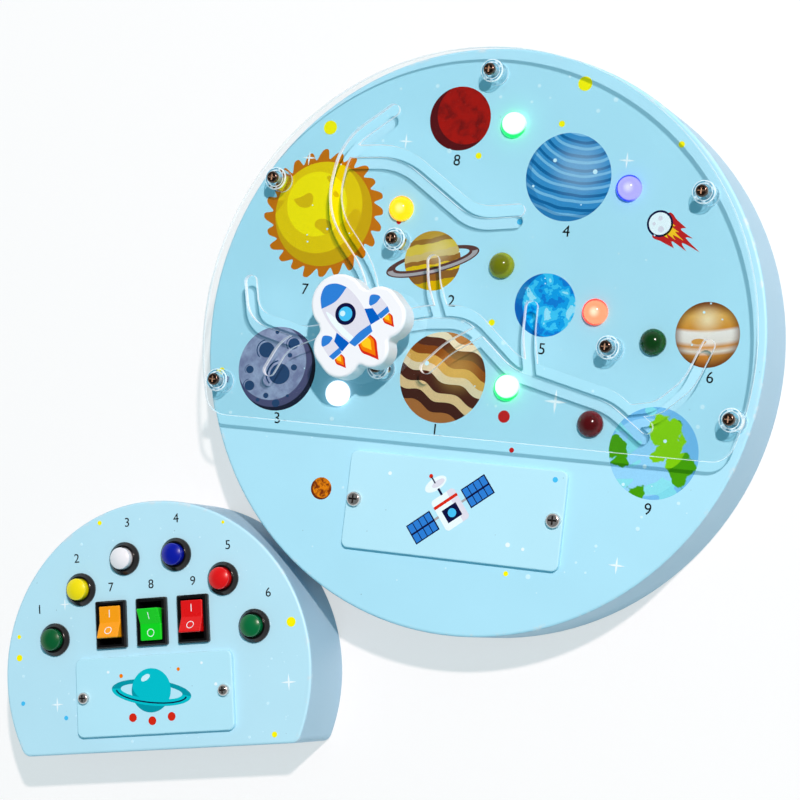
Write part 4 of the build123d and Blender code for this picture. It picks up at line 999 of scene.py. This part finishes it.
# Satellite on the display cover, comet beside the track, ringed globe on the control cover
satellite = {"x": -2.0, "y": -72.5, "turn": 38.0, "size": 1.0}
satelliteParts = [
    ("satelliteStruts", "silver", [[(-15.0, 0.5), (-15.0, -0.5), (15.0, -0.5), (15.0, 0.5)]], 1),
    ("satellitePanels", "navy", [[(-20.5, 4.6), (-20.5, -4.6), (-8.2, -4.6), (-8.2, 4.6)],
                                 [(8.2, 4.6), (8.2, -4.6), (20.5, -4.6), (20.5, 4.6)]], 2),
    ("satelliteCells", "blue", [[(x, y), (x, y - 3.7), (x + 2.5, y - 3.7), (x + 2.5, y)]
                                for x in (-20.0, -17.1, -14.2, -11.3, 8.7, 11.6, 14.5, 17.4) for y in (4.1, -0.4)], 3),
    ("satelliteHull", "white", [[(-5.0, 7.4), (-6.0, 6.4), (-6.0, -6.4), (-5.0, -7.4), (5.0, -7.4), (6.0, -6.4),
                                 (6.0, 6.4), (5.0, 7.4)], ringPoints(0, 12.6, 5.4, 48, 2.6)], 2),
    ("satelliteShade", "lilac", [[(2.4, 7.4), (2.4, -7.4), (5.0, -7.4), (6.0, -6.4), (6.0, 6.4), (5.0, 7.4)],
                                 ringPoints(1.2, 12.3, 3.2, 40, 1.3)], 3),
    ("satelliteStripes", "scarlet", [[(-6.0, 4.6), (-6.0, 3.3), (6.0, 3.3), (6.0, 4.6)], ringPoints(0, 16.6, 0.9, 24)], 4),
    ("satelliteTrim", "navy", [[(-3.6, 1.4), (-3.6, -4.6), (3.6, -4.6), (3.6, 1.4)],
                               [(-0.5, 10.4), (-0.5, 7.2), (0.5, 7.2), (0.5, 10.4)],
                               [(-0.3, 16.2), (-0.3, 13.0), (0.3, 13.0), (0.3, 16.2)]], 4),
    ("satelliteLamp", "sky", [ringPoints(0, -1.6, 1.9, 36)], 5),
]
for name, ink, shapes, layer in satelliteParts:
    turned = [placed(shape, satellite["x"], satellite["y"], satellite["turn"], satellite["size"]) for shape in shapes]
    printShapes(name, "displayCover", inks[ink], turned, layer)

comet = {"x": 76.0, "y": 53.0, "turn": 148.0}
tail = smoothLoop([(1.0, 5.6), (-4.0, 5.5), (-10.0, 4.6), (-10.0, 4.6), (-7.6, 2.8), (-15.0, 2.6), (-15.0, 2.6), (-11.6, 0.8),
                   (-20.0, -0.4), (-20.0, -0.4), (-11.6, -1.6), (-14.0, -3.2), (-14.0, -3.2), (-7.6, -3.2), (-9.0, -5.0),
                   (-9.0, -5.0), (-4.0, -5.4), (1.0, -5.6)])
cometParts = [
    ("cometTail", "red", [tail], 1),
    ("cometTailGlow", "gold", [placed(tail, 0.6, 0, 0, 0.6)], 2),
    ("cometHead", "navy", [ringPoints(1.2, 0, 5.6, 56)], 2),
    ("cometIce", "white", [ringPoints(1.2, 0, 4.7, 56)], 3),
    ("cometSpots", "lilac", [ringPoints(-0.6, 1.6, 1.3, 28), ringPoints(2.4, -1.9, 1.0, 28), ringPoints(3.2, 1.5, 0.7, 24)], 4),
]
for name, ink, shapes, layer in cometParts:
    turned = [placed(shape, comet["x"], comet["y"], comet["turn"]) for shape in shapes]
    printShapes(name, "display", inks[ink], turned, layer)

globe = {"x": -1.0, "y": -9.0, "radius": 9.6}
globeX, globeY, globeSize = globe["x"], globe["y"], globe["radius"]
globeBack = ringPoints(0, 0, 19.6, 64, 5.6, 0, 0, 180) + ringPoints(0, 0.5, 15.2, 64, 3.2, 0, 180, 0)
globeFront = ringPoints(0, 0, 19.6, 64, 5.6, 0, 180, 360) + ringPoints(0, 0.5, 15.2, 64, 3.2, 0, 360, 180)
globeLine = ringPoints(0, -0.1, 17.6, 64, 4.5, 0, 184, 356) + ringPoints(0, 0.1, 16.9, 64, 4.1, 0, 356, 184)
globeParts = [
    ("globeRingBack", "deepTeal", [placed(globeBack, globeX, globeY, -8)], 1),
    ("globeBall", "teal", [ringPoints(globeX, globeY + 1.0, globeSize, 80)], 2),
    ("globeShade", "deepTeal", [ringPoints(globeX, globeY + 1.0, globeSize, 48, globeSize, -20, 180, 360)
                                + ringPoints(globeX, globeY + 1.0, globeSize, 48, globeSize * 0.55, -20, 360, 180)], 3),
    ("globeGlint", "paleBlue", [ringPoints(globeX - 2.6, globeY + 6.6, 2.4, 36, 1.2, 28)], 3),
    ("globeRingFront", "teal", [placed(globeFront, globeX, globeY, -8)], 4),
    ("globeRingLine", "navy", [placed(globeLine, globeX, globeY, -8)], 5),
    ("globeMoons", "scarlet", [ringPoints(globeX - 9.5, globeY - 10.4, 1.9, 40), ringPoints(globeX, globeY - 12.2, 1.9, 40),
                               ringPoints(globeX + 9.5, globeY - 10.8, 1.9, 40)], 2),
    ("globeSparks", "orange", [ringPoints(globeX - 14.6, globeY + 8.0, 0.9, 28), ringPoints(globeX + 13.6, globeY + 9.4, 0.8, 28)], 2),
]
for name, ink, shapes, layer in globeParts:
    printShapes(name, "controlCover", inks[ink], shapes, layer)
print("cover prints done")

# On and off marks on the rockers
rockerMark = {"pitch": 20.2, "row": 21.8, "pivotDrop": 1.5, "valley": 4.1, "slope": 12.9, "bar": (0.36, 3.3), "ringSize": (1.75, 1.44),
              "reach": 3.9, "lean": (-12.9, 12.9, -12.9)}
controlPlace = boards["control"][0]
for number in range(3):
    for mark, side in (("On", 1), ("Off", -1)):
        pivot = Matrix.Translation(((number - 1) * rockerMark["pitch"] * mm, rockerMark["row"] * mm, -rockerMark["pivotDrop"] * mm))
        lean = Matrix.Rotation(math.radians(rockerMark["lean"][number]), 4, "X")
        face = Matrix.Translation((0, 0, rockerMark["valley"] * mm)) @ Matrix.Rotation(math.radians(side * rockerMark["slope"]), 4, "X")
        boards["rockerFace"] = (controlPlace @ pivot @ lean @ face, f"switch_{number + 1}")
        y = side * rockerMark["reach"]
        if mark == "On":
            wide, tall = rockerMark["bar"]
            shape = [(-wide / 2, y - tall / 2), (wide / 2, y - tall / 2), (wide / 2, y + tall / 2), (-wide / 2, y + tall / 2)]
        else:
            outer, inner = rockerMark["ringSize"]
            shape = (ringPoints(0, y, outer, 40), ringPoints(0, y, inner, 40))
        printShapes(f"rocker{number + 1}{mark}Mark", "rockerFace", inks["white"], [shape], 1)
print("rocker marks printed")

# Floor, light and camera
clearSelection()
bpy.ops.mesh.primitive_plane_add(size=8.0, location=(0, 0, -0.0002))
floor = bpy.context.object
floor.name = "paleFloor"
material, tree, shader = startMaterial("paleFloor", Base_Color=(0.93, 0.93, 0.93, 1.0), Roughness=0.9)
white = addNode(tree, "ShaderNodeEmission", {"Color": (1, 1, 1, 1), "Strength": 1.0})
path = addNode(tree, "ShaderNodeLightPath").outputs
looks = calc(tree, "MAXIMUM", path["Is Camera Ray"], calc(tree, "MAXIMUM", path["Is Transmission Ray"], path["Is Glossy Ray"]))
direct = calc(tree, "LESS_THAN", path["Diffuse Depth"], 0.5)
seen = calc(tree, "MULTIPLY", calc(tree, "MULTIPLY", looks, direct), 0.6)
lifted = addNode(tree, "ShaderNodeMixShader", {0: seen, 1: shader.outputs[0], 2: white.outputs[0]})
feed(tree, tree.nodes["Material Output"].inputs["Surface"], lifted.outputs[0])
floor.data.materials.append(material)

light = {"direction": (0.47, 0.47, 1.0), "distance": 3.2, "size": 0.12, "power": 103.0, "tint": (1.0, 0.805, 0.755), "fill": (0.17, 0.37, 0.427, 1.0)}
aim = Vector((-30.0, -40.0, 30.0)) * mm
toward = Vector(light["direction"]).normalized()
bpy.ops.object.light_add(type="AREA", location=aim + toward * light["distance"])
key = bpy.context.object
key.name = "keyLight"
key.data.shape = "DISK"
key.data.size = light["size"]
key.data.energy = light["power"]
key.data.color = light["tint"]
key.rotation_euler = toward.to_track_quat("Z", "Y").to_euler()

world = bpy.data.worlds.new("studio")
bpy.context.scene.world = world
world.use_nodes = True
tree = world.node_tree
path = addNode(tree, "ShaderNodeLightPath").outputs
height = split(tree, addNode(tree, "ShaderNodeTexCoord").outputs["Generated"])["Z"]
sky = ramp(tree, height, [(0.0, (1, 1, 1, 1)), (0.3, (0.8, 0.8, 0.8, 1)), (0.7, (0.1, 0.1, 0.1, 1)), (1.0, (0.05, 0.05, 0.05, 1))])
glow = mixColours(tree, path["Is Glossy Ray"], light["fill"], sky)
direct = calc(tree, "LESS_THAN", path["Diffuse Depth"], 0.5)
seen = calc(tree, "MULTIPLY", calc(tree, "MAXIMUM", path["Is Camera Ray"], path["Is Transmission Ray"]), direct)
glow = mixColours(tree, seen, glow, (1, 1, 1, 1))
feed(tree, tree.nodes["Background"].inputs["Color"], glow)

view = {"spot": (358.2, -90.0, 967.0), "lens": 107.0, "shift": (-0.036, -0.03),
        "right": (0.9238, 0.11582, -0.36493), "up": (-0.08076, 0.99065, 0.10998), "back": (0.37426, -0.07213, 0.92452)}
bpy.ops.object.camera_add()
camera = bpy.context.object
camera.name = "photoCamera"
turn = Matrix((view["right"], view["up"], view["back"])).transposed().to_4x4()
camera.matrix_world = Matrix.Translation(Vector(view["spot"]) * mm) @ turn
camera.data.lens = view["lens"]
camera.data.sensor_width = 36.0
camera.data.shift_x, camera.data.shift_y = view["shift"]
bpy.context.scene.camera = camera
print("stage set")
